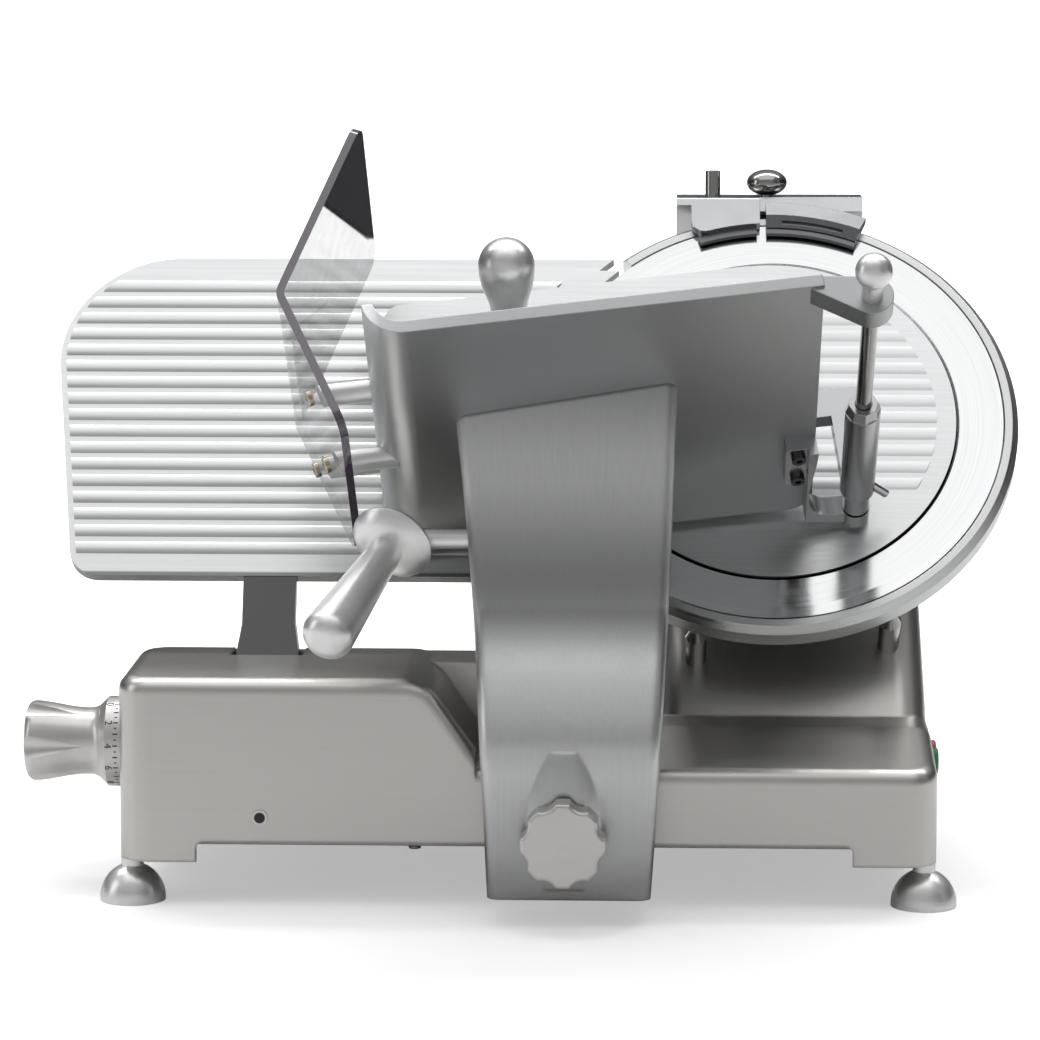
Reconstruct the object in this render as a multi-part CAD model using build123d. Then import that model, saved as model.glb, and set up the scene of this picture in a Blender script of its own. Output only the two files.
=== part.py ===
from build123d import *
import math
import os

# Gravity-feed food slicer, millimetres, +Z up.
# Shapes are drawn about the centre of the blade's cutting plane and moved to the frame at export.
# The blade frame has x along the carriage travel, y up along the leaning blade, z out towards the operator.

# Whole machine
BLADE_HEIGHT = 286.5
BLADE_LEAN = 38.0
TABLE_TURN = 7.8
WALL = 5.0
RUN_FIT = 0.05
SLIDE_GAP = 0.4
FREE_GAP = 3.0

# Base casting
BASE_LEFT = -409.0
BASE_RIGHT = 99.5
BASE_FRONT = -190.0
BASE_BACK = 140.0
FOOT_H = 28.0
NOTCH_H = 13.0
NOTCH_R = 5.0
NOTCH_LEFT = -360.0
NOTCH_RIGHT = 47.0
DIAL_BOX_H = 115.0
DIAL_BOX_BACK = -61.0
DIAL_BOX_SHOULDER = -217.0
SHOULDER_RUN = 31.0
SHOULDER_R = 28.0
LEDGE_FRONT_H = 59.5
LEDGE_BACK_H = 72.0
DECK_H = 53.5
SPINE_FRONT = -104.0
SPINE_H = 112.5
SPINE_RIGHT = -112.0
TOWER_LEFT = -72.0
TOWER_RIGHT = 91.0
TOWER_SPLAY = 8.0
TOWER_WALL_W = -60.0
TOWER_BACK_W = -140.0
TOWER_TOP_S = 66.0
MOTOR_ROOM_H = 118.5
CORNER_R = 20.0
EDGE_R = 9.0
COVER_PLATE_T = 2.0
COVER_PLATE_FRONT = -128.0
VENT_COUNT = 7
VENT_FIRST = 70.0
VENT_PITCH = 18.0
VENT_W = 6.0
VENT_SPAN = (-60.0, 40.0)

# Feet
FOOT_R = 20.5
FOOT_DOME_H = 22.0
FOOT_RIM_H = 3.0
FOOT_NECK_R = 7.0
FOOT_STUD_R = 4.0
FOOT_STUD_DEPTH = 12.0
FOOT_FRONT_Y = -170.0
FOOT_BACK_Y = 118.0
FOOT_LEFT_X = -402.0
FOOT_RIGHT_X = 92.0
FOOT_BOSS_R = 13.0

# Blade and its drive
BLADE_R = 150.0
BLADE_RING_T = 28.5
BLADE_T = 3.0
BLADE_DISH = 8.0
HUB_R = 35.0
HUB_T = 11.0
SPINDLE_R = 12.5
SPINDLE_BORE_R = 6.0
SPINDLE_END_W = -104.0
BEARING_R = 26.0
BEARING_T = 15.0
BEARING_FRONT_W = -30.0
BEARING_REAR_W = -58.0
HOUSING_R = 38.0
HOUSING_FRONT_W = -26.0
HOUSING_FLANGE_R = 45.5
HOUSING_FLANGE_T = 9.0
COVER_GAP = 2.2
COVER_T = 3.4
COVER_FACE_W = -0.5
TIE_ROD_R = 4.5
TIE_KNOB_R = 16.0
TIE_KNOB_L = 24.0
PULLEY_R = 56.0
PULLEY_T = 18.0
PULLEY_FRONT_W = -80.0
BELT_T = 3.0
BELT_GAP = 0.3
MOTOR_X = 12.0
MOTOR_H = 70.0
MOTOR_R = 44.0
MOTOR_L = 78.0
MOTOR_PULLEY_R = 13.0
MOTOR_SHAFT_R = 7.0
BRACKET_T = 5.0
BRACKET_GAP = 4.0

# Ring guard
GUARD_GAP = 1.0
GUARD_RIM_T = 9.0
GUARD_DEPTH = 18.0
GUARD_LAP = 18.0
GUARD_BACK_T = 4.0
GUARD_START = -117.0
GUARD_END = 128.5
POST_R = 7.0
POST_INSET = 4.5
POST_ANGLES = (-108.8, -61.2)

# Gauge plate
GAUGE_TOP_S = 124.0
GAUGE_BOTTOM_S = -120.5
GAUGE_LEFT = -472.0
GAUGE_LEFT_LOW = -452.5
GAUGE_BLADE_GAP = 3.0
GAUGE_T = 9.0
GAUGE_FACE_W = -0.6
GAUGE_TOP_R = 78.0
GAUGE_LOW_R = 20.0
RIB_COUNT = 17
RIB_PITCH = 12.6
RIB_TOP_S = 101.5
RIB_H = 1.5
RIB_W = 9.0
RIB_MARGIN = 4.0
COVER_RIB_H = 0.9
COVER_RIB_LOW_S = -54.0
RIB_END_GAP = 15.5
COLUMN_X = -324.0
COLUMN_W = 34.0
COLUMN_T = 9.0
COLUMN_LEAN = 24.0
COLUMN_FLARE = 3.0
COLUMN_FLARE_H = 18.0
COLUMN_FOOT_H = 12.0
COLUMN_FOOT_LAP = 14.0
COLUMN_FOOT_BACK = 18.0
COLUMN_FRONT_W = -3.0
BEAM_REACH = 110.0
BEAM_H = 20.0
BEAM_T = 10.0
GAUGE_TRAVEL = 14.0

# Thickness dial
DIAL_Y = -108.0
DIAL_H = 60.6
DIAL_RING_R = 28.7
DIAL_RING_T = 19.0
DIAL_RING_BEVEL = 4.5
DIAL_GRIP_R = 25.6
DIAL_GRIP_L = 40.5
DIAL_WAIST_R = 21.3
DIAL_WAIST_L = 7.5
DIAL_FLUTES = 6
DIAL_FLUTE_R = 11.0
DIAL_FLUTE_DEPTH = 4.5
DIAL_SHAFT_R = 6.0
DIAL_BUSH_R = 11.0
DIAL_BUSH_L = 16.0
DIAL_TURN = 330.0
CAM_R = 38.0
CAM_T = 9.0
CAM_X = -354.0
CAM_LEAST_R = 13.5
FOLLOWER_R = 4.0
GROOVE_GAP = 0.35
GROOVE_DEPTH = 6.0
GROOVE_REACH = 0.45
SLIDER_W = 28.0
SLIDER_ABOVE = 13.2
SLIDER_S = 28.0
GAUGE_ROD_R = 7.0
GAUGE_ROD_OFFSET = 10.4
GAUGE_ROD_BELOW = 40.8
GAUGE_ROD_ABOVE = 23.2

# Carriage slide
ROD_R = 10.0
ROD_Y = -152.0
ROD_H = 30.5
ROD_LUG_T = 12.0
CARRIAGE_X = -130.0
SLIDE_BLOCK_L = 60.0
SLIDE_BLOCK_W = 30.0
SLIDE_BUSH_T = 3.0
SLIDE_BUSH_L = 24.0
FOOT_PLATE_T = 11.0
FOOT_PLATE_H = 9.0
FOOT_PLATE_W = 66.0
HINGE_Y = -222.0
HINGE_H = 3.5
HINGE_PIN_R = 5.0
KNUCKLE_R = 9.0
UPRIGHT_Y = -208.0
UPRIGHT_T = 8.0
UPRIGHT_H = 46.5
RAIL_Y = -92.0
RAIL_W = 12.0
RAIL_H = 18.0
ROLLER_R = 10.0
ROLLER_T = 9.0
ROLLER_PIN_R = 3.0

# Carriage arm
ARM_FRONT = -245.0
ARM_BACK = -196.0
ARM_DROP = 10.5
ARM_WALL = 6.0
ARM_TOP_LEFT = -203.0
ARM_TOP_RIGHT = -62.0
ARM_MID_LEFT = -186.0
ARM_MID_RIGHT = -68.0
ARM_LOW_LEFT = -177.0
ARM_LOW_RIGHT = -77.5
ARM_MID_Z = -110.0
ARM_REACH_Z = 62.0
ARM_TOP_Y = -187.0
ARM_NECK_Y = -205.5
ARM_NECK_Z = -92.0
ARM_BEND_Y = -224.5
ARM_BEND_Z = -131.0
ARM_SHELF_Z = -137.0
ARM_CHIN_Y = -242.0
ARM_CHIN_Z = -168.0
ARM_FLAT_H = 58.5
ARM_CURL = 4.5
ARM_CURL_H = 29.0
ARM_EDGE_R = 8.0
BOSS_H = 5.0
BOSS_R = 42.0
BOSS_RISE = 52.0
BOSS_FALL = 33.0
BOSS_CROWN = 1.0
LOCK_KNOB_R = 26.0
LOCK_KNOB_T = 22.0
LOCK_KNOB_H = 29.5
LOCK_SCREW_R = 5.0
LOCK_LOBES = 8
LOCK_DIP_R = 10.0
LOCK_DIP = 2.5
LOCK_NECK_H = 4.0

# Product table
TABLE_V = -73.7
TABLE_T = 8.0
TABLE_LEFT = -259.5
TABLE_RIGHT = 14.0
TABLE_NEAR_W = 5.0
TABLE_FAR_W = 264.0
TABLE_CORNER_R = 16.0
LIP_T = 6.0
LIP_NEAR_H = 60.0
LIP_FAR_H = 22.0
LIP_R = 25.0

# Carriage handle
HANDLE_STEM_R = 6.0
HANDLE_STEM_Y = -188.0
HANDLE_STEM_Z = -55.0
HANDLE_X = -235.5
HANDLE_DIR = (-0.353, -0.804, -0.478)
HANDLE_L = 92.0
HANDLE_END_R = 17.0
HANDLE_NECK_R = 10.3
HANDLE_FLANGE_R = 26.0
HANDLE_FLANGE_T = 13.0

# Side guard
SHEET_T = 5.0
SHEET_TOP = (-263.0, 89.0)
SHEET_KNEE = (-306.0, -38.0)
SHEET_TOE = (-262.3, -133.4)
SHEET_NEAR_W = 52.0
SHEET_FAR_W = 204.0
SHEET_CORNER_R = 12.0
SHEET_BEND_R = 12.0
SPACER_R = 7.5
SPACER_RISES = (28.0, 34.0, 10.0)
SPACER_WS = (160.0, 65.0, 109.0)
SHEET_BOLT_R = 5.0
SHEET_BOLT_T = 3.5

# Pusher
PUSH_ROD_U = 41.0
PUSH_ROD_DROP = 9.0
PUSH_ROD_R = 5.0
PUSH_ROD_LOW_W = 3.0
ROD_NUT_GRIP = 22.0
ROD_NUT_WALL = 1.5
SCREW_R = 3.0
SCREW_FIRST_W = 55.0
SCREW_PITCH = 25.0
SCREW_HEAD_R = 4.5
SCREW_HEAD_T = 4.0
SCREW_GRIP = 5.5
BRACKET_PAD_W = 16.0
BRACKET_PAD_T = 9.0
BRACKET_EDGE = 4.0
BRACKET_WEB_T = 9.0
BRACKET_WEB_LAP = 2.0
BRACKET_WALL = 4.0
BRACKET_FOOT_H = 12.0
ROD_SEAT = 2.0
LUG_T = 16.0
LUG_R = 13.0
LUG_STEP = 2.0
BALL_NUT_R = 11.0
BALL_NUT_STAND = 25.0
SLEEVE_R = 11.0
SLEEVE_NECK_R = 8.5
SLEEVE_CAP_H = 8.0
SLEEVE_GAP = 2.0
PUSH_BEAM_RISE = 25.0
PUSH_BEAM_W = 20.0
PUSH_PIN_R = 2.8
PUSH_PIN_L = 31.0
PUSH_PIN_RISE = 14.0
PUSH_PIN_TURN = 143.0
SLEEVE_LOW_W = 38.0
BUSH_T = 2.0
PUSH_ARM_T = 12.0
PUSH_ARM_LOW_W = 44.0
PUSH_PLATE_T = 4.0
PUSH_PLATE_LEFT = -246.0
PUSH_PLATE_H = 150.0
PUSH_TEETH_ROWS = 4
PUSH_TEETH_COLS = 7
PUSH_TOOTH_L = 8.0
PUSH_TOOTH_R = 4.0
PUSH_HANDLE_U = -165.0
PUSH_HANDLE_V = 61.0
PUSH_HANDLE_L = 90.0
PUSH_HANDLE_END_R = 18.0
PUSH_HANDLE_NECK_R = 12.0
PUSH_HANDLE_FOOT_R = 18.5
PUSH_TRAVEL = 100.0

# Sharpener
SHARP_LEFT = -64.0
SHARP_RIGHT = 61.0
SHARP_GAP = 1.5
SHARP_RISE = 6.1
SHARP_DEPTH = 39.0
SHARP_EDGE_R = 3.0
SHARP_BACK_W = -30.0
SHARP_FRONT_W = 8.0
SHARP_SEAT_W = 0.8
SHARP_SPLIT_X = -6.0
SPLIT_GAP = 4.0
CHEEK_LEFT = -54.0
CHEEK_LAP = 2.8
CHEEK_CORNER_R = 9.0
COVER_TOP_GAP = 4.4
COVER_CREST_GAP = 2.5
COVER_CREST_W = 10.0
COVER_LAP = 4.5
COVER_LOW_W = 5.0
COVER_SPAN = (67.5, 91.5)
BLADE_LIP_LAP = 8.5
BLADE_LIP_W = 4.0
LEFT_LIP_SPAN = (94.0, 109.5)
STONE_R = 16.0
STONE_T = 9.0
STONE_RISE = 6.5
STONE_AXIS_R = 4.0
STONE_GAP = 1.5
STONE_XS = (-39.5, 33.0)
STONE_SHAFT_L = 8.0
SHARP_PIN_R = 5.0
SHARP_PIN_X = -39.5
SHARP_PIN_STAND = 17.0
SHARP_PIN_DEPTH = 6.0
SHARP_PIN_TRAVEL = 5.0
SHARP_KNOB_R = 13.5
SHARP_KNOB_X = -3.0
SHARP_KNOB_HALF_H = 8.8
SHARP_STEM_R = 4.0
SHARP_STEM_DEPTH = 8.0
SHARP_ARM_W = 24.0
SHARP_ARM_T = 18.0
SHARP_ARM_KNEE_S = 104.0
SHARP_ARM_RISE = 21.5

# Switch panel on the right end
PANEL_Y = -20.0
PANEL_RISE = 36.5
PANEL_H = 30.0
PANEL_W = 62.0
PANEL_T = 3.0
BUTTON_R = 9.0
BUTTON_TRAVEL = 3.0
BUTTON_STAND = 6.0
BUTTON_PITCH = 26.0
GLAND_R = 9.0
GLAND_WALL = 4.5
GLAND_NUT_T = 8.0
GLAND_L = 18.0
GLAND_H = 30.5
GLAND_X = 20.0
PLUG_X = -320.0
PLUG_H = 28.5
PLUG_R = 3.5
PLUG_RIM = 1.6
PLUG_RIM_T = 0.8

# Frames
LEAN = math.radians(BLADE_LEAN)
TURN = math.radians(TABLE_TURN)
COUNTER_Z = -BLADE_HEIGHT
BLADE_PLANE = Plane((0, 0, 0), x_dir=(1, 0, 0), z_dir=(0, -math.cos(LEAN), math.sin(LEAN)))
TABLE_PLANE = Plane(
    (0, 0, 0),
    x_dir=(math.cos(TURN), math.sin(TURN) * math.sin(LEAN), math.sin(TURN) * math.cos(LEAN)),
    z_dir=(0, -math.cos(LEAN), math.sin(LEAN)),
)


def yz(s, w):
    """Front-to-back and height of a point in the blade frame."""
    return (s * math.sin(LEAN) - w * math.cos(LEAN), s * math.cos(LEAN) + w * math.sin(LEAN))


def up_blade(z, w):
    """Distance up the leaning blade of a point at height z."""
    return (z - w * math.sin(LEAN)) / math.cos(LEAN)


# Heights in the base
BASE_BOTTOM = COUNTER_Z + FOOT_H
NOTCH_TOP = BASE_BOTTOM + NOTCH_H
DIAL_BOX_TOP = BASE_BOTTOM + DIAL_BOX_H
LEDGE_FRONT_Z = BASE_BOTTOM + LEDGE_FRONT_H
LEDGE_BACK_Z = BASE_BOTTOM + LEDGE_BACK_H
DECK_Z = BASE_BOTTOM + DECK_H
SPINE_TOP = BASE_BOTTOM + SPINE_H
MOTOR_ROOM_TOP = BASE_BOTTOM + MOTOR_ROOM_H
DIAL_Z = BASE_BOTTOM + DIAL_H
ROD_Z = BASE_BOTTOM + ROD_H
RAIL_TOP_Z = ROD_Z - ROLLER_R
FOOT_PLATE_TOP = BASE_BOTTOM + FOOT_PLATE_H
HINGE_Z = BASE_BOTTOM + HINGE_H
UPRIGHT_TOP = BASE_BOTTOM + UPRIGHT_H
ARM_BOTTOM = BASE_BOTTOM - ARM_DROP
LOCK_KNOB_Z = BASE_BOTTOM + LOCK_KNOB_H
PANEL_Z = BASE_BOTTOM + PANEL_RISE
GLAND_Z = BASE_BOTTOM + GLAND_H
PLUG_Z = BASE_BOTTOM + PLUG_H

# Radii round the blade
BLADE_RING_R = BLADE_R - BLADE_RING_T
COVER_R = BLADE_RING_R - COVER_GAP
GUARD_INNER_R = BLADE_R + GUARD_GAP
GUARD_OUTER_R = GUARD_INNER_R + GUARD_RIM_T
GUARD_BACK_R = BLADE_R - GUARD_LAP
POST_ORBIT_R = GUARD_INNER_R + POST_INSET
RIB_END_R = GUARD_OUTER_R + RIB_END_GAP

# Places along the blade's axis
BLADE_BACK_W = -(BLADE_DISH + BLADE_T)
HUB_BACK_W = BLADE_BACK_W - HUB_T
TOWER_INNER_W = TOWER_WALL_W - WALL
BRACKET_W = PULLEY_FRONT_W - PULLEY_T - BRACKET_GAP
MOTOR_FRONT_W = BRACKET_W - BRACKET_T
MOTOR_BACK_W = MOTOR_FRONT_W - MOTOR_L
MOTOR_S = up_blade(BASE_BOTTOM + MOTOR_H, (MOTOR_FRONT_W + MOTOR_BACK_W) / 2)

# Gauge slide and dial
CAM_AXIS_S = DIAL_Y * math.sin(LEAN) + DIAL_Z * math.cos(LEAN)
CAM_AXIS_W = -DIAL_Y * math.cos(LEAN) + DIAL_Z * math.sin(LEAN)
FOLLOWER_W = CAM_AXIS_W + CAM_LEAST_R + GAUGE_TRAVEL
GAUGE_ROD_S = CAM_AXIS_S + GAUGE_ROD_OFFSET
GAUGE_ROD_LOW_W = FOLLOWER_W - GAUGE_ROD_BELOW
GAUGE_ROD_HIGH_W = FOLLOWER_W + GAUGE_ROD_ABOVE
COLUMN_END_S = GAUGE_ROD_S + SLIDER_S / 2
KNOB_END_X = BASE_LEFT - SLIDE_GAP - DIAL_RING_T - DIAL_WAIST_L - DIAL_GRIP_L

# Table and pusher
TABLE_TOP_V = TABLE_V + TABLE_T
SCREW_U = TABLE_RIGHT - BRACKET_EDGE - BRACKET_PAD_W / 2
LUG_LOW_W = TABLE_FAR_W - LUG_STEP - LUG_T
SLEEVE_TOP_W = LUG_LOW_W - PUSH_TRAVEL - 2 * FREE_GAP
PUSH_ROD_TOP_W = LUG_LOW_W + LUG_T + ROD_NUT_GRIP

# Sharpener over the guard
SHARP_LOW_S = GUARD_OUTER_R + SHARP_GAP
SHARP_TOP_Y, SHARP_TOP_Z = yz(SHARP_LOW_S + SHARP_RISE, SHARP_FRONT_W)
SHARP_BACK_Y = SHARP_TOP_Y + SHARP_DEPTH
SHARP_POST_Y = SHARP_TOP_Y + SHARP_DEPTH / 2
CHEEK_LOW_R = BLADE_R - CHEEK_LAP
COVER_TOP_R = GUARD_OUTER_R + COVER_TOP_GAP
COVER_CREST_R = BLADE_R + COVER_CREST_GAP
COVER_LOW_R = BLADE_R - COVER_LAP
BLADE_LIP_R = BLADE_R - BLADE_LIP_LAP
STONE_S = SHARP_LOW_S + STONE_RISE
SHARP_ARM_TOP_S = SHARP_LOW_S + SHARP_ARM_RISE

# Frame of the whole machine
HANDLE_END = tuple(
    a + HANDLE_L * b for a, b in zip((HANDLE_X, HANDLE_STEM_Y, HANDLE_STEM_Z), HANDLE_DIR)
)
FRONT_Y = HANDLE_END[1] - HANDLE_END_R
BACK_Y = BASE_BACK + GLAND_L
FRAME = Pos(-(KNOB_END_X + GUARD_OUTER_R) / 2, -(FRONT_Y + BACK_Y) / 2, BLADE_HEIGHT)


def on_blade(shape):
    return BLADE_PLANE.location * shape


def on_table(shape):
    return TABLE_PLANE.location * shape


def block(x, y, z):
    """Box from three (low, high) pairs."""
    size = [hi - lo for lo, hi in (x, y, z)]
    mid = [(hi + lo) / 2 for lo, hi in (x, y, z)]
    return Pos(*mid) * Box(*size)


def rod(radius, low, high, x=0.0, y=0.0):
    """Cylinder along local Z."""
    return Pos(x, y, (low + high) / 2) * Cylinder(radius, high - low)


def ring(outer, inner, low, high, x=0.0, y=0.0):
    return rod(outer, low, high, x, y) - rod(inner, low - 1, high + 1, x, y)


def side_slab(points, x_low, x_high):
    """Outline in Y and Z, drawn out along X."""
    face = make_face(Polyline(*points, close=True))
    return extrude(Plane.YZ.offset(x_low) * face, amount=x_high - x_low)


def front_slab(points, y_low, y_high):
    """Outline in X and Z, drawn out along Y."""
    face = make_face(Polyline(*points, close=True))
    return extrude(Plane.XZ.offset(-y_low) * face, amount=y_high - y_low, dir=(0, 1, 0))


def along_x(radius, low, high, y, z):
    return Pos((low + high) / 2, y, z) * Rot(0, 90, 0) * Cylinder(radius, high - low)


def along_y(radius, low, high, x, z):
    return Pos(x, (low + high) / 2, z) * Rot(90, 0, 0) * Cylinder(radius, high - low)


# Base casting
def dial_box(inset, floor_z):
    top = DIAL_BOX_TOP - inset
    right = DIAL_BOX_SHOULDER + SHOULDER_RUN - inset
    outline = [
        (BASE_LEFT + inset, floor_z),
        (BASE_LEFT + inset, top),
        (DIAL_BOX_SHOULDER - inset, top),
        (right, LEDGE_BACK_Z - inset),
        (right, floor_z),
    ]
    body = front_slab(outline, BASE_FRONT + inset, DIAL_BOX_BACK - inset)
    corners = body.edges().filter_by(Axis.Z).group_by(Axis.X)[0]
    body = fillet(corners, CORNER_R - inset)
    crest = body.faces().sort_by(Axis.Z)[-1].edges().filter_by(Axis.Y).sort_by(Axis.X)[-1]
    body = fillet(crest, SHOULDER_R - inset)
    rim = body.faces().sort_by(Axis.Z)[-1].edges()
    return fillet([e for e in rim if e != rim.filter_by(Axis.Y).sort_by(Axis.X)[-1]], EDGE_R - inset)


def rear_deck(inset, floor_z):
    body = block(
        (BASE_LEFT + inset, DIAL_BOX_SHOULDER + SHOULDER_RUN),
        (DIAL_BOX_BACK - CORNER_R - inset, BASE_BACK - inset),
        (floor_z, DECK_Z - inset),
    )
    corner = body.edges().filter_by(Axis.Z).group_by(Axis.X)[0].sort_by(Axis.Y)[-1]
    body = fillet(corner, CORNER_R - inset)
    rim = body.faces().sort_by(Axis.Z)[-1].edges()
    return fillet(rim.group_by(Axis.Y)[-1] + rim.group_by(Axis.X)[0], EDGE_R - inset)


def ledge(inset, floor_z):
    outline = [
        (BASE_FRONT + inset, floor_z),
        (BASE_FRONT + inset, LEDGE_FRONT_Z - inset),
        (SPINE_FRONT, LEDGE_BACK_Z - inset),
        (BASE_BACK - inset, LEDGE_BACK_Z - inset),
        (BASE_BACK - inset, floor_z),
    ]
    body = side_slab(outline, DIAL_BOX_SHOULDER, BASE_RIGHT - inset)
    corners = body.edges().filter_by(Axis.Z).group_by(Axis.X)[-1]
    body = fillet(corners, CORNER_R - inset)
    top = body.faces().sort_by(Axis.Z)[-1].edges().group_by(Axis.X)[-1]
    slope = body.faces().sort_by(Axis.Z)[-2].edges().group_by(Axis.Y)[0]
    return fillet(slope + top, EDGE_R - inset)


def tower(inset, floor_z):
    front_w = TOWER_WALL_W - inset
    back_w = TOWER_BACK_W + inset
    top_s = TOWER_TOP_S - inset
    room_top = MOTOR_ROOM_TOP - inset
    foot_s = up_blade(LEDGE_BACK_Z, front_w)
    step_s = up_blade(room_top, back_w)
    outline = [
        (yz(foot_s, front_w)[0], floor_z),
        yz(foot_s, front_w),
        yz(top_s, front_w),
        yz(top_s, back_w),
        yz(step_s, back_w),
        (BASE_BACK - inset, room_top),
        (BASE_BACK - inset, floor_z),
    ]
    top_z = yz(top_s, front_w)[1]
    left_low = TOWER_LEFT - TOWER_SPLAY * (top_z - floor_z) / (top_z - LEDGE_BACK_Z)
    sides = [
        (left_low + inset, floor_z),
        (TOWER_LEFT + inset, top_z),
        (TOWER_RIGHT - inset, top_z),
        (TOWER_RIGHT + TOWER_SPLAY - inset, LEDGE_BACK_Z),
        (TOWER_RIGHT + TOWER_SPLAY - inset, floor_z),
    ]
    body = side_slab(outline, left_low + inset, TOWER_RIGHT + TOWER_SPLAY - inset)
    body &= front_slab(sides, BASE_FRONT, BASE_BACK + CORNER_R)
    upper = body.edges().filter_by(lambda e: e.center().Z > LEDGE_BACK_Z + EDGE_R)
    inner_step = upper.filter_by(Axis.X).sort_by(lambda e: abs(e.center().Y - yz(step_s, back_w)[0]))[0]
    return fillet([e for e in upper if e != inner_step], CORNER_R - inset)


def spine(inset, floor_z):
    return block(
        (DIAL_BOX_SHOULDER - CORNER_R, SPINE_RIGHT - inset),
        (SPINE_FRONT + inset, DIAL_BOX_BACK - inset),
        (floor_z, SPINE_TOP - inset),
    )


def foot_places():
    return [(x, y) for x in (FOOT_LEFT_X, FOOT_RIGHT_X) for y in (FOOT_FRONT_Y, FOOT_BACK_Y)]


def base_housing():
    lumps = (dial_box, rear_deck, ledge, tower, spine)
    body = lumps[0](0, BASE_BOTTOM)
    hollow = lumps[0](WALL, BASE_BOTTOM - 1)
    for lump in lumps[1:]:
        body += lump(0, BASE_BOTTOM)
        hollow += lump(WALL, BASE_BOTTOM - 1)
    boss_h = FOOT_STUD_DEPTH + 2
    for x, y in foot_places():
        hollow -= rod(FOOT_BOSS_R, BASE_BOTTOM - 2, BASE_BOTTOM + boss_h, x, y)
    hollow -= block(
        (BASE_LEFT, BASE_RIGHT),
        (COVER_PLATE_FRONT, COVER_PLATE_FRONT + WALL),
        (BASE_BOTTOM - 2, BASE_BOTTOM + boss_h),
    )
    hollow -= block(
        (DIAL_BOX_SHOULDER, DIAL_BOX_SHOULDER + WALL),
        (DIAL_BOX_BACK - WALL, BASE_BACK),
        (DECK_Z - WALL, LEDGE_BACK_Z),
    )
    body -= hollow
    notch = block(
        (NOTCH_LEFT, NOTCH_RIGHT),
        (BASE_FRONT - 1, BASE_FRONT + WALL + EDGE_R),
        (BASE_BOTTOM - NOTCH_H, NOTCH_TOP),
    )
    body -= fillet(notch.edges().filter_by(Axis.Y), NOTCH_R)
    for x, y in foot_places():
        body -= rod(FOOT_STUD_R, BASE_BOTTOM - 1, BASE_BOTTOM + FOOT_STUD_DEPTH, x, y)
    half = COLUMN_W / 2 + COLUMN_FLARE + FREE_GAP
    lowered = DIAL_BOX_TOP + GAUGE_TRAVEL * math.sin(LEAN)
    slot_back = column_y(lowered) + column_reach() + GAUGE_TRAVEL * math.cos(LEAN) + FREE_GAP
    body -= block(
        (COLUMN_X - half, COLUMN_X + half),
        (column_y(DIAL_BOX_TOP - WALL) - FREE_GAP, slot_back),
        (DIAL_BOX_TOP - 2 * WALL, DIAL_BOX_TOP + 1),
    )
    body -= along_x(DIAL_BUSH_R, BASE_LEFT - 1, BASE_LEFT + WALL + 1, DIAL_Y, DIAL_Z)
    body -= along_y(PLUG_R, BASE_FRONT - 1, BASE_FRONT + WALL + 1, PLUG_X, PLUG_Z)
    body -= along_y(GLAND_R, BASE_BACK - WALL - 1, BASE_BACK + 1, GLAND_X, GLAND_Z)
    for place in button_places():
        body -= along_x(BUTTON_R, BASE_RIGHT - WALL - 1, BASE_RIGHT + 1, place, PANEL_Z)
    body -= on_blade(rod(HOUSING_R, TOWER_INNER_W - 1, TOWER_WALL_W + 1))
    body -= on_blade(rod(TIE_ROD_R + SLIDE_GAP, TOWER_BACK_W - 1, TOWER_BACK_W + WALL + 1))
    return body


def button_places():
    return [PANEL_Y - BUTTON_PITCH / 2, PANEL_Y + BUTTON_PITCH / 2]


# Feet and bottom cover
def feet():
    """Domed feet with their necks and threaded studs."""
    rim = (FOOT_R, COUNTER_Z + FOOT_RIM_H)
    top = (FOOT_NECK_R, COUNTER_Z + FOOT_DOME_H)
    profile = make_face(
        Polyline((0, COUNTER_Z), (FOOT_R, COUNTER_Z), rim)
        + ThreePointArc(rim, (FOOT_R * 0.77, COUNTER_Z + FOOT_DOME_H * 0.7), top)
        + Polyline(top, (0, COUNTER_Z + FOOT_DOME_H), (0, COUNTER_Z))
    )
    foot = revolve(Plane.XZ * profile, Axis.Z)
    foot += rod(FOOT_NECK_R, COUNTER_Z + FOOT_RIM_H, BASE_BOTTOM)
    foot += rod(FOOT_STUD_R, COUNTER_Z + FOOT_RIM_H, BASE_BOTTOM + FOOT_STUD_DEPTH)
    return Compound([Pos(x, y, 0) * foot for x, y in foot_places()])


def cover_span():
    left = FOOT_LEFT_X + FOOT_R + FREE_GAP
    right = FOOT_RIGHT_X - FOOT_R - FREE_GAP
    return left, right


def cover_screw_places():
    left, right = cover_span()
    rows = (COVER_PLATE_FRONT + WALL / 2, BASE_BACK - WALL / 2)
    steps = [left + WALL + k * (right - left - 2 * WALL) / 3 for k in range(4)]
    return [(x, y) for x in steps for y in rows]


def bottom_cover():
    left, right = cover_span()
    plate = block(
        (left, right),
        (COVER_PLATE_FRONT, BASE_BACK),
        (BASE_BOTTOM - COVER_PLATE_T, BASE_BOTTOM),
    )
    for k in range(VENT_COUNT):
        y = COVER_PLATE_FRONT + VENT_FIRST + VENT_PITCH * k
        plate -= block(VENT_SPAN, (y, y + VENT_W), (BASE_BOTTOM - 2 * COVER_PLATE_T, BASE_BOTTOM + 1))
    return plate


def bottom_cover_screws():
    low = BASE_BOTTOM - COVER_PLATE_T
    head = fillet(rod(4, low - 2, low).edges().group_by(Axis.Z)[0], 1)
    return Compound([Pos(x, y, 0) * head for x, y in cover_screw_places()])


def hole_plug():
    stem = along_y(PLUG_R, BASE_FRONT, BASE_FRONT + WALL + 2, PLUG_X, PLUG_Z)
    return stem + along_y(PLUG_R + PLUG_RIM, BASE_FRONT - PLUG_RIM_T, BASE_FRONT, PLUG_X, PLUG_Z)


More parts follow.
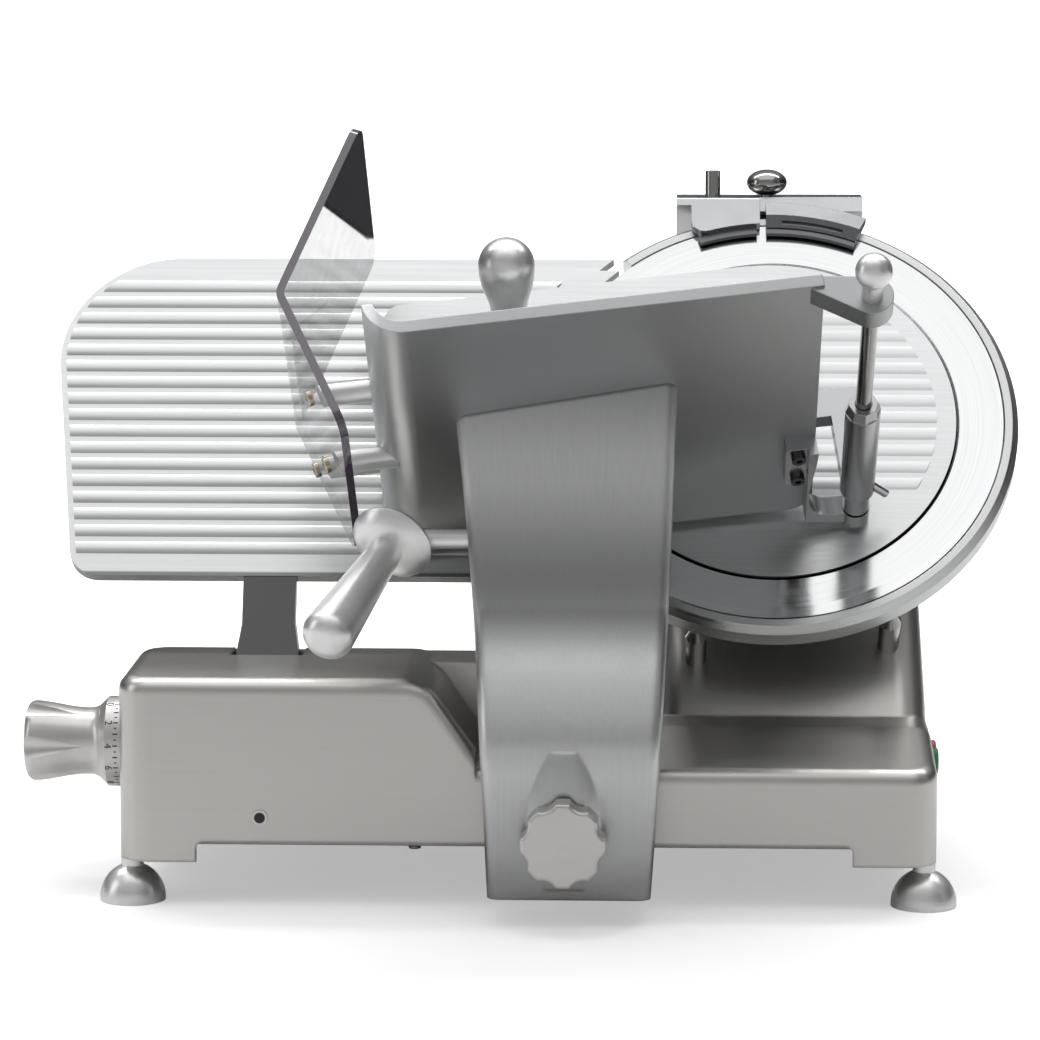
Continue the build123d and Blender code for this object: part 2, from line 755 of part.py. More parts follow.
def cable_gland():
    body = along_y(GLAND_R, BASE_BACK - WALL - GLAND_NUT_T, BASE_BACK, GLAND_X, GLAND_Z)
    hexagon = extrude(RegularPolygon(GLAND_R + GLAND_WALL, 6), GLAND_NUT_T)
    body += Pos(GLAND_X, BASE_BACK, GLAND_Z) * Rot(-90, 0, 0) * hexagon
    cone_l = GLAND_L - GLAND_NUT_T
    sleeve = Pos(0, 0, cone_l / 2) * Cone(GLAND_R + GLAND_WALL / 4, GLAND_R - GLAND_WALL / 2, cone_l)
    body += Pos(GLAND_X, BASE_BACK + GLAND_NUT_T, GLAND_Z) * Rot(-90, 0, 0) * sleeve
    inner = BASE_BACK - WALL - GLAND_NUT_T - 1
    return body - along_y(GLAND_R - GLAND_WALL, inner, BASE_BACK + GLAND_L + 1, GLAND_X, GLAND_Z)


# Switch panel and buttons
def switch_panel():
    panel = block(
        (BASE_RIGHT, BASE_RIGHT + PANEL_T),
        (PANEL_Y - PANEL_W / 2, PANEL_Y + PANEL_W / 2),
        (PANEL_Z - PANEL_H / 2, PANEL_Z + PANEL_H / 2),
    )
    panel = fillet(panel.edges().filter_by(Axis.X), 6)
    for y in button_places():
        panel -= along_x(BUTTON_R, BASE_RIGHT - 1, BASE_RIGHT + PANEL_T + 1, y, PANEL_Z)
    return panel


def push_button(y):
    top = BASE_RIGHT + PANEL_T + BUTTON_STAND
    stem = BASE_RIGHT - WALL - BUTTON_TRAVEL
    cap = along_x(BUTTON_R - RUN_FIT, stem, top, y, PANEL_Z)
    return fillet(cap.edges().group_by(Axis.X)[-1], 2)


# Blade and drive
def blade():
    outline = [
        (SPINDLE_R, -BLADE_DISH),
        (BLADE_RING_R - 5, -BLADE_DISH),
        (BLADE_RING_R, -2.2),
        (BLADE_R - 8, -1.5),
        (BLADE_R, -0.6),
        (BLADE_R, -1.0),
        (BLADE_R - 9, -1.5 - BLADE_T),
        (BLADE_RING_R + 2, -2.2 - BLADE_T),
        (BLADE_RING_R - 3, BLADE_BACK_W),
        (SPINDLE_R, BLADE_BACK_W),
    ]
    disc = revolve(Plane.XZ * make_face(Polyline(*outline, close=True)), Axis.Z)
    for x, y in blade_screw_places():
        disc -= rod(3, BLADE_BACK_W - 1, 0, x, y)
    return on_blade(disc)


def spindle():
    """Hollow shaft with the flange and studs that carry the blade."""
    shaft = rod(SPINDLE_R, SPINDLE_END_W, -BLADE_DISH) + rod(HUB_R, HUB_BACK_W, BLADE_BACK_W)
    for x, y in blade_screw_places():
        shaft += rod(3, BLADE_BACK_W, -BLADE_DISH, x, y)
    return on_blade(shaft - rod(SPINDLE_BORE_R, SPINDLE_END_W - 1, 0))


def blade_screw_places():
    radius = (HUB_R + SPINDLE_R) / 2 + 2
    return [(radius * math.cos(a), radius * math.sin(a)) for a in (k * math.tau / 3 for k in range(3))]


def spindle_pulley():
    back = PULLEY_FRONT_W - PULLEY_T
    wheel = ring(PULLEY_R, PULLEY_R - 8, back, PULLEY_FRONT_W)
    wheel += ring(SPINDLE_R + 9, SPINDLE_R, back, PULLEY_FRONT_W)
    wheel += ring(PULLEY_R - 7, SPINDLE_R + 8, back + 5, back + 11)
    return on_blade(wheel)


def bearing_housing():
    body = rod(HOUSING_R, TOWER_INNER_W, HOUSING_FRONT_W)
    rear = TOWER_INNER_W - HOUSING_FLANGE_T
    body += rod(HOUSING_FLANGE_R, rear, TOWER_INNER_W)
    body -= rod(BEARING_R, rear - 1, BEARING_FRONT_W)
    body -= rod(SPINDLE_R + 3, rear - 1, HOUSING_FRONT_W + 1)
    body += ring(BEARING_R, BEARING_R - 4, BEARING_REAR_W, BEARING_FRONT_W - BEARING_T)
    return on_blade(body)


def spindle_bearings():
    pair = []
    for top in (BEARING_FRONT_W, BEARING_REAR_W):
        pair.append(ring(BEARING_R, SPINDLE_R + RUN_FIT, top - BEARING_T, top))
    return on_blade(Compound(pair))


def belt_line(grow):
    big = Circle(PULLEY_R + BELT_GAP + grow)
    small = Pos(MOTOR_X, MOTOR_S) * Circle(MOTOR_PULLEY_R + BELT_GAP + grow)
    return make_hull(big.edges() + small.edges())


def drive_belt():
    back = PULLEY_FRONT_W - PULLEY_T + 2
    band = extrude(Pos(0, 0, back) * belt_line(BELT_T), PULLEY_T - 4)
    band -= extrude(Pos(0, 0, back - 1) * belt_line(0), PULLEY_T)
    return on_blade(band)


def motor_pulley():
    """Motor shaft with its belt pulley."""
    shaft = rod(MOTOR_SHAFT_R, MOTOR_BACK_W + 8, PULLEY_FRONT_W + 2, MOTOR_X, MOTOR_S)
    wheel = rod(MOTOR_PULLEY_R, PULLEY_FRONT_W - PULLEY_T, PULLEY_FRONT_W, MOTOR_X, MOTOR_S)
    return on_blade(shaft + wheel)


def motor_body():
    shell = rod(MOTOR_R, MOTOR_BACK_W, MOTOR_FRONT_W, MOTOR_X, MOTOR_S)
    shell = fillet(shell.edges().group_by(Axis.Z)[0], 8)
    for k in range(20):
        turn = Pos(MOTOR_X, MOTOR_S, 0) * Rot(0, 0, 18 * k)
        shell -= turn * block((MOTOR_R - 2, MOTOR_R + 1), (-2, 2), (MOTOR_BACK_W + 14, MOTOR_FRONT_W - 10))
    shell -= rod(MOTOR_SHAFT_R + RUN_FIT, MOTOR_BACK_W + 7, MOTOR_FRONT_W + 1, MOTOR_X, MOTOR_S)
    return on_blade(shell)


def bracket_posts():
    across = (TOWER_LEFT + CORNER_R + 7, TOWER_RIGHT - CORNER_R - 7)
    return [(x, MOTOR_S + up) for x in across for up in (-30, 30)]


def motor_bracket():
    posts = bracket_posts()
    xs = [x for x, s in posts]
    ss = [s for x, s in posts]
    plate = block(
        (min(xs) - 8, max(xs) + 8),
        (min(ss) - 8, max(ss) + 8),
        (BRACKET_W - BRACKET_T, BRACKET_W),
    )
    for x, s in posts:
        plate += rod(6, BRACKET_W, TOWER_INNER_W, x, s)
    plate -= rod(MOTOR_SHAFT_R + 2, BRACKET_W - BRACKET_T - 1, BRACKET_W + 1, MOTOR_X, MOTOR_S)
    return on_blade(plate)


# Ring guard, blade cover and tie rod
def ring_guard():
    back = -GUARD_DEPTH
    outline = [
        (GUARD_INNER_R, -0.4),
        (GUARD_INNER_R + 5, -0.4),
        (GUARD_OUTER_R, -5.4),
        (GUARD_OUTER_R, back),
        (GUARD_BACK_R, back),
        (GUARD_BACK_R, back + GUARD_BACK_T),
        (GUARD_INNER_R, back + GUARD_BACK_T),
    ]
    face = Plane.XZ * make_face(Polyline(*outline, close=True))
    ring_part = revolve(Rot(0, 0, GUARD_START) * face, Axis.Z, GUARD_END - GUARD_START)
    return on_blade(ring_part)


def post_places():
    angles = [math.radians(a) for a in POST_ANGLES]
    return [(POST_ORBIT_R * math.cos(a), POST_ORBIT_R * math.sin(a)) for a in angles]


def guard_posts():
    neck = -GUARD_DEPTH - 3
    shoulder = neck - 8
    outline = [
        (0, TOWER_WALL_W),
        (POST_R, TOWER_WALL_W),
        (POST_R, shoulder),
        (POST_R * 0.55, neck),
        (POST_R * 0.55, -GUARD_DEPTH),
        (0, -GUARD_DEPTH),
    ]
    post = revolve(Plane.XZ * make_face(Polyline(*outline, close=True)), Axis.Z)
    wall = ledge(0, BASE_BOTTOM)
    posts = [on_blade(Pos(x, y, 0) * post) - wall for x, y in post_places()]
    return Compound(posts)


def blade_cover():
    back = COVER_FACE_W - COVER_T
    foot_w = COVER_FACE_W - COVER_RIB_H
    disc = rod(COVER_R, back, foot_w)
    limit = COVER_R - RIB_PITCH
    region = rod(limit, foot_w, COVER_FACE_W)
    for k in range(RIB_COUNT):
        s = RIB_TOP_S - k * RIB_PITCH
        if COVER_RIB_LOW_S < s < limit - RIB_W:
            disc += region & (Pos(0, s, foot_w) * rib(2 * limit, COVER_RIB_H))
    disc += rod(TIE_ROD_R + 4, back - 3, back)
    disc -= rod(TIE_ROD_R, back - 4, back + 2)
    return on_blade(disc)


def cover_tie_rod():
    top = COVER_FACE_W - COVER_T + 2
    return on_blade(rod(TIE_ROD_R, TOWER_BACK_W - TIE_KNOB_L + 6, top))


def tie_rod_knob():
    top = TOWER_BACK_W - SLIDE_GAP
    low = top - TIE_KNOB_L
    knob = rod(TIE_KNOB_R, low, top)
    for k in range(8):
        a = k * math.tau / 8
        knob -= rod(3, low - 1, top + 1, (TIE_KNOB_R + 1) * math.cos(a), (TIE_KNOB_R + 1) * math.sin(a))
    knob -= rod(TIE_ROD_R + RUN_FIT, low + 5, top + 1)
    return on_blade(knob)


# Gauge plate
def gauge_outline():
    arc_r = GUARD_INNER_R + GAUGE_BLADE_GAP
    top_x = -math.sqrt(arc_r**2 - GAUGE_TOP_S**2)
    low_x = -math.sqrt(arc_r**2 - GAUGE_BOTTOM_S**2)
    line = Polyline(
        (top_x, GAUGE_TOP_S),
        (GAUGE_LEFT - 10, GAUGE_TOP_S),
        (GAUGE_LEFT_LOW, GAUGE_BOTTOM_S),
        (low_x, GAUGE_BOTTOM_S),
    )
    edge = ThreePointArc((low_x, GAUGE_BOTTOM_S), (-arc_r, 0), (top_x, GAUGE_TOP_S))
    face = make_face(line + edge)
    left = face.vertices().group_by(Axis.X)[0] + face.vertices().group_by(Axis.X)[1]
    face = fillet(left.sort_by(Axis.Y)[-1], GAUGE_TOP_R)
    return fillet(face.vertices().sort_by(lambda v: v.Y * 10 + v.X)[0], GAUGE_LOW_R)


def rib(length, height):
    """Low rounded bar along x, with its foot on the face it stands on."""
    radius = (RIB_W**2 / 4 + height**2) / (2 * height)
    bar = Rot(0, 90, 0) * Cylinder(radius, length)
    return Pos(0, 0, height - radius) * bar


def gauge_ribs():
    region = offset(gauge_outline(), -RIB_MARGIN, kind=Kind.INTERSECTION) - Circle(RIB_END_R)
    length = -2 * GAUGE_LEFT
    bars = [Pos(GAUGE_LEFT, RIB_TOP_S - k * RIB_PITCH, 0) * rib(length, RIB_H) for k in range(RIB_COUNT)]
    return [extrude(region, RIB_H) & bar for bar in bars]


def gauge_plate():
    face_w = GAUGE_FACE_W - RIB_H
    plate = extrude(Pos(0, 0, face_w - GAUGE_T + RIB_H) * gauge_outline(), GAUGE_T - RIB_H)
    for bar in gauge_ribs():
        plate += Pos(0, 0, face_w) * bar
    tip = math.radians(GUARD_END)
    tip_s = GUARD_INNER_R * math.sin(tip) - GAUGE_BLADE_GAP
    around_tip = rod(GUARD_OUTER_R + GAUGE_BLADE_GAP, -2 * GAUGE_T, GAUGE_T)
    plate -= around_tip & block((-GUARD_OUTER_R, 0), (tip_s, GUARD_OUTER_R), (-2 * GAUGE_T, GAUGE_T))
    back_w = face_w - GAUGE_T + RIB_H
    beam = block(
        (COLUMN_X - BEAM_REACH, COLUMN_X + BEAM_REACH),
        (GAUGE_BOTTOM_S + 2 * BEAM_H, GAUGE_BOTTOM_S + 3 * BEAM_H),
        (back_w - BEAM_T, back_w),
    )
    return on_blade(plate + beam) + gauge_column()


def column_y(z):
    """Front line of the gauge column at height z."""
    top_y, top_z = yz(GAUGE_BOTTOM_S, COLUMN_FRONT_W)
    return top_y + (z - top_z) * math.tan(math.radians(COLUMN_LEAN))


def column_reach():
    """Thickness of the column along y."""
    return COLUMN_T / math.cos(math.radians(COLUMN_LEAN))


def gauge_column():
    """Leaning column from the plate's lower edge to the slider, flared where it enters the base."""
    slider_low_w = FOLLOWER_W + SLIDER_ABOVE - SLIDER_W
    foot_w = (slider_low_w - COLUMN_FOOT_BACK, slider_low_w + COLUMN_FOOT_LAP)
    half = COLUMN_W / 2
    foot = block(
        (COLUMN_X - half, COLUMN_X + half), (COLUMN_END_S, COLUMN_END_S + COLUMN_FOOT_H), foot_w
    )
    low = yz(COLUMN_END_S + COLUMN_FOOT_H / 2, sum(foot_w) / 2)[1]
    high = yz(GAUGE_BOTTOM_S + BEAM_H, COLUMN_FRONT_W)[1]
    side = [(column_y(low), low), (column_y(high), high)]
    side += [(y + column_reach(), z) for y, z in reversed(side)]
    right = [
        (COLUMN_X + half, low),
        (COLUMN_X + half, DIAL_BOX_TOP - WALL),
        (COLUMN_X + half + COLUMN_FLARE, DIAL_BOX_TOP),
        (COLUMN_X + half, DIAL_BOX_TOP + COLUMN_FLARE_H),
        (COLUMN_X + half, high),
    ]
    left = [(2 * COLUMN_X - x, z) for x, z in reversed(right)]
    bar = side_slab(side, COLUMN_X - COLUMN_W, COLUMN_X + COLUMN_W)
    bar &= front_slab(right + left, column_y(low) - COLUMN_T, column_y(high) + 2 * COLUMN_T)
    plate_back = block(
        (COLUMN_X - COLUMN_W, COLUMN_X + COLUMN_W),
        (COLUMN_END_S - COLUMN_FOOT_H, GAUGE_BOTTOM_S + 2 * BEAM_H),
        (foot_w[0] - 2 * COLUMN_T, COLUMN_FRONT_W),
    )
    return (bar & on_blade(plate_back)) + on_blade(foot)


def gauge_slider():
    """Block on the inclined rod, with the pin that runs in the dial's spiral groove."""
    high = FOLLOWER_W + SLIDER_ABOVE
    left = COLUMN_X - COLUMN_W / 2 + 1
    body = block(
        (left, COLUMN_X + COLUMN_W / 2 - 1),
        (COLUMN_END_S - SLIDER_S, COLUMN_END_S),
        (high - SLIDER_W, high),
    )
    body -= rod(GAUGE_ROD_R + RUN_FIT, high - SLIDER_W - 1, high + 1, COLUMN_X, GAUGE_ROD_S)
    pin_y, pin_z = yz(CAM_AXIS_S, FOLLOWER_W)
    pin = along_x(FOLLOWER_R, CAM_X + CAM_T - GROOVE_DEPTH + 1, left + 1, pin_y, pin_z)
    return on_blade(body) + pin


def gauge_rod():
    """Inclined guide rod in its bracket, hung under the top of the dial box."""
    right = COLUMN_X + COLUMN_W / 2 + COLUMN_FLARE + FREE_GAP + 1
    thick = 5
    ear = 6
    low_s = COLUMN_END_S - SLIDER_S
    frame = block((right, right + thick), (low_s, COLUMN_END_S - 2), (GAUGE_ROD_LOW_W, GAUGE_ROD_HIGH_W))
    for low in (GAUGE_ROD_LOW_W, GAUGE_ROD_HIGH_W - ear):
        frame += block((COLUMN_X - GAUGE_ROD_R - 5, right), (low_s, COLUMN_END_S - 2), (low, low + ear))
    frame += rod(GAUGE_ROD_R, GAUGE_ROD_LOW_W, GAUGE_ROD_HIGH_W, COLUMN_X, GAUGE_ROD_S)
    high_y, high_z = yz(COLUMN_END_S - 2, GAUGE_ROD_HIGH_W)
    low_y, low_z = yz(low_s, GAUGE_ROD_LOW_W)
    ceiling = DIAL_BOX_TOP - WALL
    hanger = [(high_y, ceiling), (high_y, high_z - ear), (low_y, low_z + 4 * ear), (low_y, ceiling)]
    return on_blade(frame) + side_slab(hanger, right, right + thick)


# Thickness dial
def groove_radius(angle):
    return CAM_LEAST_R + GAUGE_TRAVEL - GAUGE_TRAVEL * angle / math.radians(DIAL_TURN)


def groove_line(grow, reach):
    start = -reach
    stop = math.radians(DIAL_TURN) + reach
    steps = [start + k * (stop - start) / 16 for k in range(17)]
    points = []
    for a in steps:
        r = groove_radius(a) + grow
        points.append((r * math.cos(a), r * math.sin(a)))
    return points


def dial_cam():
    """Dial shaft with the spiral-grooved disc that moves the gauge slider."""
    disc = rod(CAM_R, 0, CAM_T)
    half = FOLLOWER_R + GROOVE_GAP
    reach = GROOVE_REACH
    outer = groove_line(half, reach)
    inner = groove_line(-half, reach)
    groove = make_face(
        Spline(*outer) + Line(outer[-1], inner[-1]) + Spline(*inner) + Line(inner[0], outer[0])
    )
    disc -= extrude(Pos(0, 0, CAM_T - GROOVE_DEPTH) * groove, GROOVE_DEPTH + 1)
    towards_operator = (0, -math.cos(LEAN), math.sin(LEAN))
    place = Plane((CAM_X, DIAL_Y, DIAL_Z), x_dir=towards_operator, z_dir=(1, 0, 0))
    return place.location * disc + along_x(DIAL_SHAFT_R, KNOB_END_X + 8, CAM_X + 1, DIAL_Y, DIAL_Z)


def dial_bush():
    high = BASE_LEFT + DIAL_BUSH_L
    bush = along_x(DIAL_BUSH_R, BASE_LEFT, high, DIAL_Y, DIAL_Z)
    bush += along_x(DIAL_BUSH_R + 3, BASE_LEFT + WALL, BASE_LEFT + WALL + 4, DIAL_Y, DIAL_Z)
    return bush - along_x(DIAL_SHAFT_R + RUN_FIT, BASE_LEFT - 1, high + 1, DIAL_Y, DIAL_Z)


def dial_ring():
    high = BASE_LEFT - SLIDE_GAP
    band = along_x(DIAL_RING_R, high - DIAL_RING_T, high, DIAL_Y, DIAL_Z)
    band = chamfer(band.edges().group_by(Axis.X)[0], DIAL_RING_BEVEL)
    return band - along_x(DIAL_SHAFT_R, high - DIAL_RING_T - 1, high + 1, DIAL_Y, DIAL_Z)


def thickness_knob():
    """Grip that widens from the waist by the ring to its end, with pointed scooped flutes."""
    grip_high = BASE_LEFT - SLIDE_GAP - DIAL_RING_T
    length = DIAL_WAIST_L + DIAL_GRIP_L
    root_r = DIAL_RING_R - DIAL_RING_BEVEL
    end_edge = DIAL_GRIP_L / 6
    waist = Spline(
        (root_r, 0), (DIAL_WAIST_R, DIAL_WAIST_L), (DIAL_GRIP_R, length - end_edge),
        tangents=[(-1, 1), (0, 1), (0.1, 1)],
    )
    end = Spline(
        (DIAL_GRIP_R, length - end_edge), (DIAL_GRIP_R - end_edge, length), tangents=[(0.1, 1), (-1, 0.1)]
    )
    outline = waist + end + Polyline((DIAL_GRIP_R - end_edge, length), (0, length), (0, 0), (root_r, 0))
    body = revolve(Plane.XZ * make_face(outline), Axis.Z)
    reach = DIAL_GRIP_R + DIAL_FLUTE_R - DIAL_FLUTE_DEPTH - DIAL_WAIST_R
    tilt = math.degrees(math.atan2(reach, DIAL_GRIP_L))
    run = math.hypot(reach, DIAL_GRIP_L) * 1.1
    scoop = Pos(DIAL_WAIST_R, 0, DIAL_WAIST_L) * Rot(0, tilt, 0)
    scoop *= Pos(0, 0, run / 2) * Cone(0, DIAL_FLUTE_R * 1.1, run)
    for k in range(DIAL_FLUTES):
        body -= Rot(0, 0, (k + 0.5) * 360 / DIAL_FLUTES) * scoop
    body -= rod(DIAL_SHAFT_R, -1, length - 8)
    place = Plane((grip_high, DIAL_Y, DIAL_Z), x_dir=(0, 0, 1), z_dir=(-1, 0, 0))
    return place.location * body


# Carriage slide
def rod_span():
    return BASE_LEFT + WALL, BASE_RIGHT - WALL


def carriage_rod():
    low, high = rod_span()
    return along_x(ROD_R, low, high, ROD_Y, ROD_Z)


def carriage_rod_brackets():
    low, high = rod_span()
    half = SLIDE_BLOCK_W / 2
    lugs = []
    for x in ((low, low + ROD_LUG_T), (high - ROD_LUG_T, high)):
        lug = block(x, (ROD_Y - half, RAIL_Y + RAIL_W), (ROD_Z - half, ROD_Z + half))
        lug += block(x, (RAIL_Y - RAIL_W, RAIL_Y + RAIL_W), (RAIL_TOP_Z - RAIL_H, ROD_Z))
        lugs.append(lug - carriage_rod())
    return Compound(lugs)


def guide_rail():
    low, high = rod_span()
    return block(
        (low + ROD_LUG_T, high - ROD_LUG_T),
        (RAIL_Y - RAIL_W / 2, RAIL_Y + RAIL_W / 2),
        (RAIL_TOP_Z - RAIL_H, RAIL_TOP_Z - SLIDE_GAP),
    )


def carriage_slider():
    half = SLIDE_BLOCK_W / 2
    reach = SLIDE_BLOCK_L / 2
    body = block(
        (CARRIAGE_X - reach, CARRIAGE_X + reach),
        (ROD_Y - half, ROD_Y + half),
        (FOOT_PLATE_TOP - FOOT_PLATE_T, ROD_Z + half),
    )
    wide = (CARRIAGE_X - FOOT_PLATE_W / 2, CARRIAGE_X + FOOT_PLATE_W / 2)
    body += block(wide, (HINGE_Y, ROD_Y + half), (FOOT_PLATE_TOP - FOOT_PLATE_T, FOOT_PLATE_TOP))
    body += along_x(KNUCKLE_R, wide[0], wide[1], HINGE_Y, HINGE_Z)
    body += block(
        (CARRIAGE_X - reach, CARRIAGE_X + reach),
        (UPRIGHT_Y - UPRIGHT_T / 2, UPRIGHT_Y + UPRIGHT_T / 2),
        (HINGE_Z, UPRIGHT_TOP),
    )
    roller_back = RAIL_Y - ROLLER_T / 2 - SLIDE_GAP
    body += block((CARRIAGE_X - 8, CARRIAGE_X + 8), (ROD_Y, roller_back), (ROD_Z - 5, ROD_Z + 5))
    body += along_y(ROLLER_PIN_R, roller_back, RAIL_Y + ROLLER_T / 2 + 2, CARRIAGE_X, ROD_Z)
    left, right = CARRIAGE_X - FOOT_PLATE_W, CARRIAGE_X + FOOT_PLATE_W
    body -= along_x(ROD_R + SLIDE_BUSH_T, left, right, ROD_Y, ROD_Z)
    return body - along_x(HINGE_PIN_R + RUN_FIT, left, right, HINGE_Y, HINGE_Z)


def slider_bushes():
    pair = []
    outer = SLIDE_BLOCK_L / 2
    for low in (CARRIAGE_X - outer, CARRIAGE_X + outer - SLIDE_BUSH_L):
        bush = along_x(ROD_R + SLIDE_BUSH_T, low, low + SLIDE_BUSH_L, ROD_Y, ROD_Z)
        pair.append(bush - along_x(ROD_R + RUN_FIT, low - 1, low + SLIDE_BUSH_L + 1, ROD_Y, ROD_Z))
    return Compound(pair)


def slider_roller():
    low = RAIL_Y - ROLLER_T / 2
    high = RAIL_Y + ROLLER_T / 2
    wheel = along_y(ROLLER_R, low, high, CARRIAGE_X, ROD_Z)
    return wheel - along_y(ROLLER_PIN_R + RUN_FIT, low - 1, high + 1, CARRIAGE_X, ROD_Z)


# Carriage arm
def above_table(drop):
    """Everything above the table's underside, lowered by drop."""
    reach = TABLE_FAR_W - TABLE_NEAR_W
    return on_table(
        block(
            (TABLE_LEFT - reach, TABLE_RIGHT + reach),
            (TABLE_V - drop, TABLE_V + reach),
            (TABLE_NEAR_W - reach, TABLE_FAR_W + reach),
        )
    )


def arm_front(inset, bottom):
    """S-shaped front line from under the table down to the foot of the cover."""
    points = [
        (ARM_TOP_Y + inset, ARM_REACH_Z),
        (ARM_NECK_Y + inset, ARM_NECK_Z),
        (ARM_BEND_Y + inset, ARM_BEND_Z),
        (ARM_CHIN_Y + inset, ARM_CHIN_Z),
        (ARM_FRONT + inset, BASE_BOTTOM + ARM_FLAT_H),
        (ARM_FRONT + inset, ARM_BOTTOM + ARM_CURL_H),
        (ARM_FRONT + ARM_CURL + inset, bottom),
    ]
    slopes = [-0.12, -0.16, -0.62, -0.3, 0, 0, 0.3]
    return Spline(*points, tangents=[(slope, -1) for slope in slopes])


def arm_block(inset, back_reach, bottom):
    front = arm_front(inset, bottom)
    back = ARM_BACK + back_reach
    rear = Polyline(
        (ARM_FRONT + ARM_CURL + inset, bottom),
        (back, bottom),
        (back, ARM_SHELF_Z),
        (back + ARM_NECK_Y - ARM_FRONT, ARM_NECK_Z),
        (back + ARM_TOP_Y - ARM_FRONT, ARM_REACH_Z),
        (ARM_TOP_Y + inset, ARM_REACH_Z),
    )
    profile = make_face(front + rear)
    slab = extrude(Plane.YZ.offset(ARM_TOP_LEFT) * profile, amount=ARM_TOP_RIGHT - ARM_TOP_LEFT)
    low_z = bottom - 1
    left = Spline(
        (ARM_TOP_LEFT + inset, ARM_REACH_Z),
        (ARM_MID_LEFT + inset, ARM_MID_Z),
        (ARM_LOW_LEFT + inset, low_z),
    )
    right = Spline(
        (ARM_LOW_RIGHT - inset, low_z),
        (ARM_MID_RIGHT - inset, ARM_MID_Z),
        (ARM_TOP_RIGHT - inset, ARM_REACH_Z),
    )
    outline = make_face(left + Line(left @ 1, right @ 0) + right + Line(right @ 1, left @ 0))
    return slab & extrude(Plane.XZ.offset(-2 * ARM_FRONT) * outline, amount=-2 * ARM_FRONT, dir=(0, 1, 0))


def lock_boss():
    """Soft swelling on the cover, flat where the lock knob seats."""
    axis_y = ARM_FRONT - BOSS_H - BOSS_CROWN + BOSS_R
    edge_r = axis_y - ARM_FRONT
    high = (edge_r, LOCK_KNOB_Z + BOSS_RISE)
    low = (edge_r, LOCK_KNOB_Z - BOSS_FALL)
    side = ThreePointArc(high, (BOSS_R, LOCK_KNOB_Z), low)
    profile = make_face(side + Polyline(low, (0, low[1]), (0, high[1]), high))
    swell = Pos(CARRIAGE_X, axis_y, 0) * revolve(Plane.XZ * profile, Axis.Z)
    return swell & block(
        (CARRIAGE_X - BOSS_R, CARRIAGE_X + BOSS_R),
        (ARM_FRONT - BOSS_H, ARM_FRONT + ARM_WALL / 2),
        (low[1], high[1]),
    )


def carriage_arm():
    body = arm_block(0, 0, ARM_BOTTOM) - above_table(0)
    tall = [e for e in body.edges() if e.bounding_box().size.Z > ARM_NECK_Z - ARM_BOTTOM]
    body = fillet([e for e in tall if e.center().Y < ARM_BACK], ARM_EDGE_R)
    body -= arm_block(ARM_WALL, -ARM_BACK, ARM_BOTTOM - 2 * ARM_WALL) - above_table(ARM_WALL)
    body += lock_boss()
    body -= along_x(HINGE_PIN_R, ARM_TOP_LEFT, ARM_TOP_RIGHT, HINGE_Y, HINGE_Z)
    body -= along_x(HANDLE_STEM_R, ARM_TOP_LEFT, CARRIAGE_X, HANDLE_STEM_Y, HANDLE_STEM_Z)
    screw_front = ARM_FRONT - 2 * BOSS_H
    screw_back = ARM_FRONT + 2 * ARM_WALL
    return body - along_y(LOCK_SCREW_R + RUN_FIT, screw_front, screw_back, CARRIAGE_X, LOCK_KNOB_Z)


def arm_hinge_pin():
    return along_x(HINGE_PIN_R, ARM_LOW_LEFT + 1, ARM_LOW_RIGHT - 1, HINGE_Y, HINGE_Z)


def lock_knob():
    low = ARM_FRONT - BOSS_H - SLIDE_GAP
    face = Circle(LOCK_KNOB_R)
    for k in range(LOCK_LOBES):
        a = (k + 0.5) * math.tau / LOCK_LOBES
        reach = LOCK_KNOB_R + LOCK_DIP_R - LOCK_DIP
        face -= Pos(reach * math.cos(a), reach * math.sin(a)) * Circle(LOCK_DIP_R)
    knob = extrude(face, LOCK_KNOB_T - LOCK_NECK_H)
    knob = fillet(knob.edges().group_by(Axis.Z)[-1], LOCK_DIP)
    knob = Pos(0, 0, LOCK_NECK_H) * knob + rod(2 * LOCK_SCREW_R, 0, LOCK_NECK_H)
    tip = UPRIGHT_Y - UPRIGHT_T / 2 - SLIDE_GAP
    knob += rod(LOCK_SCREW_R, -(tip - low), 1)
    place = Plane((CARRIAGE_X, low, LOCK_KNOB_Z), x_dir=(1, 0, 0), z_dir=(0, -1, 0))
    return place.location * knob


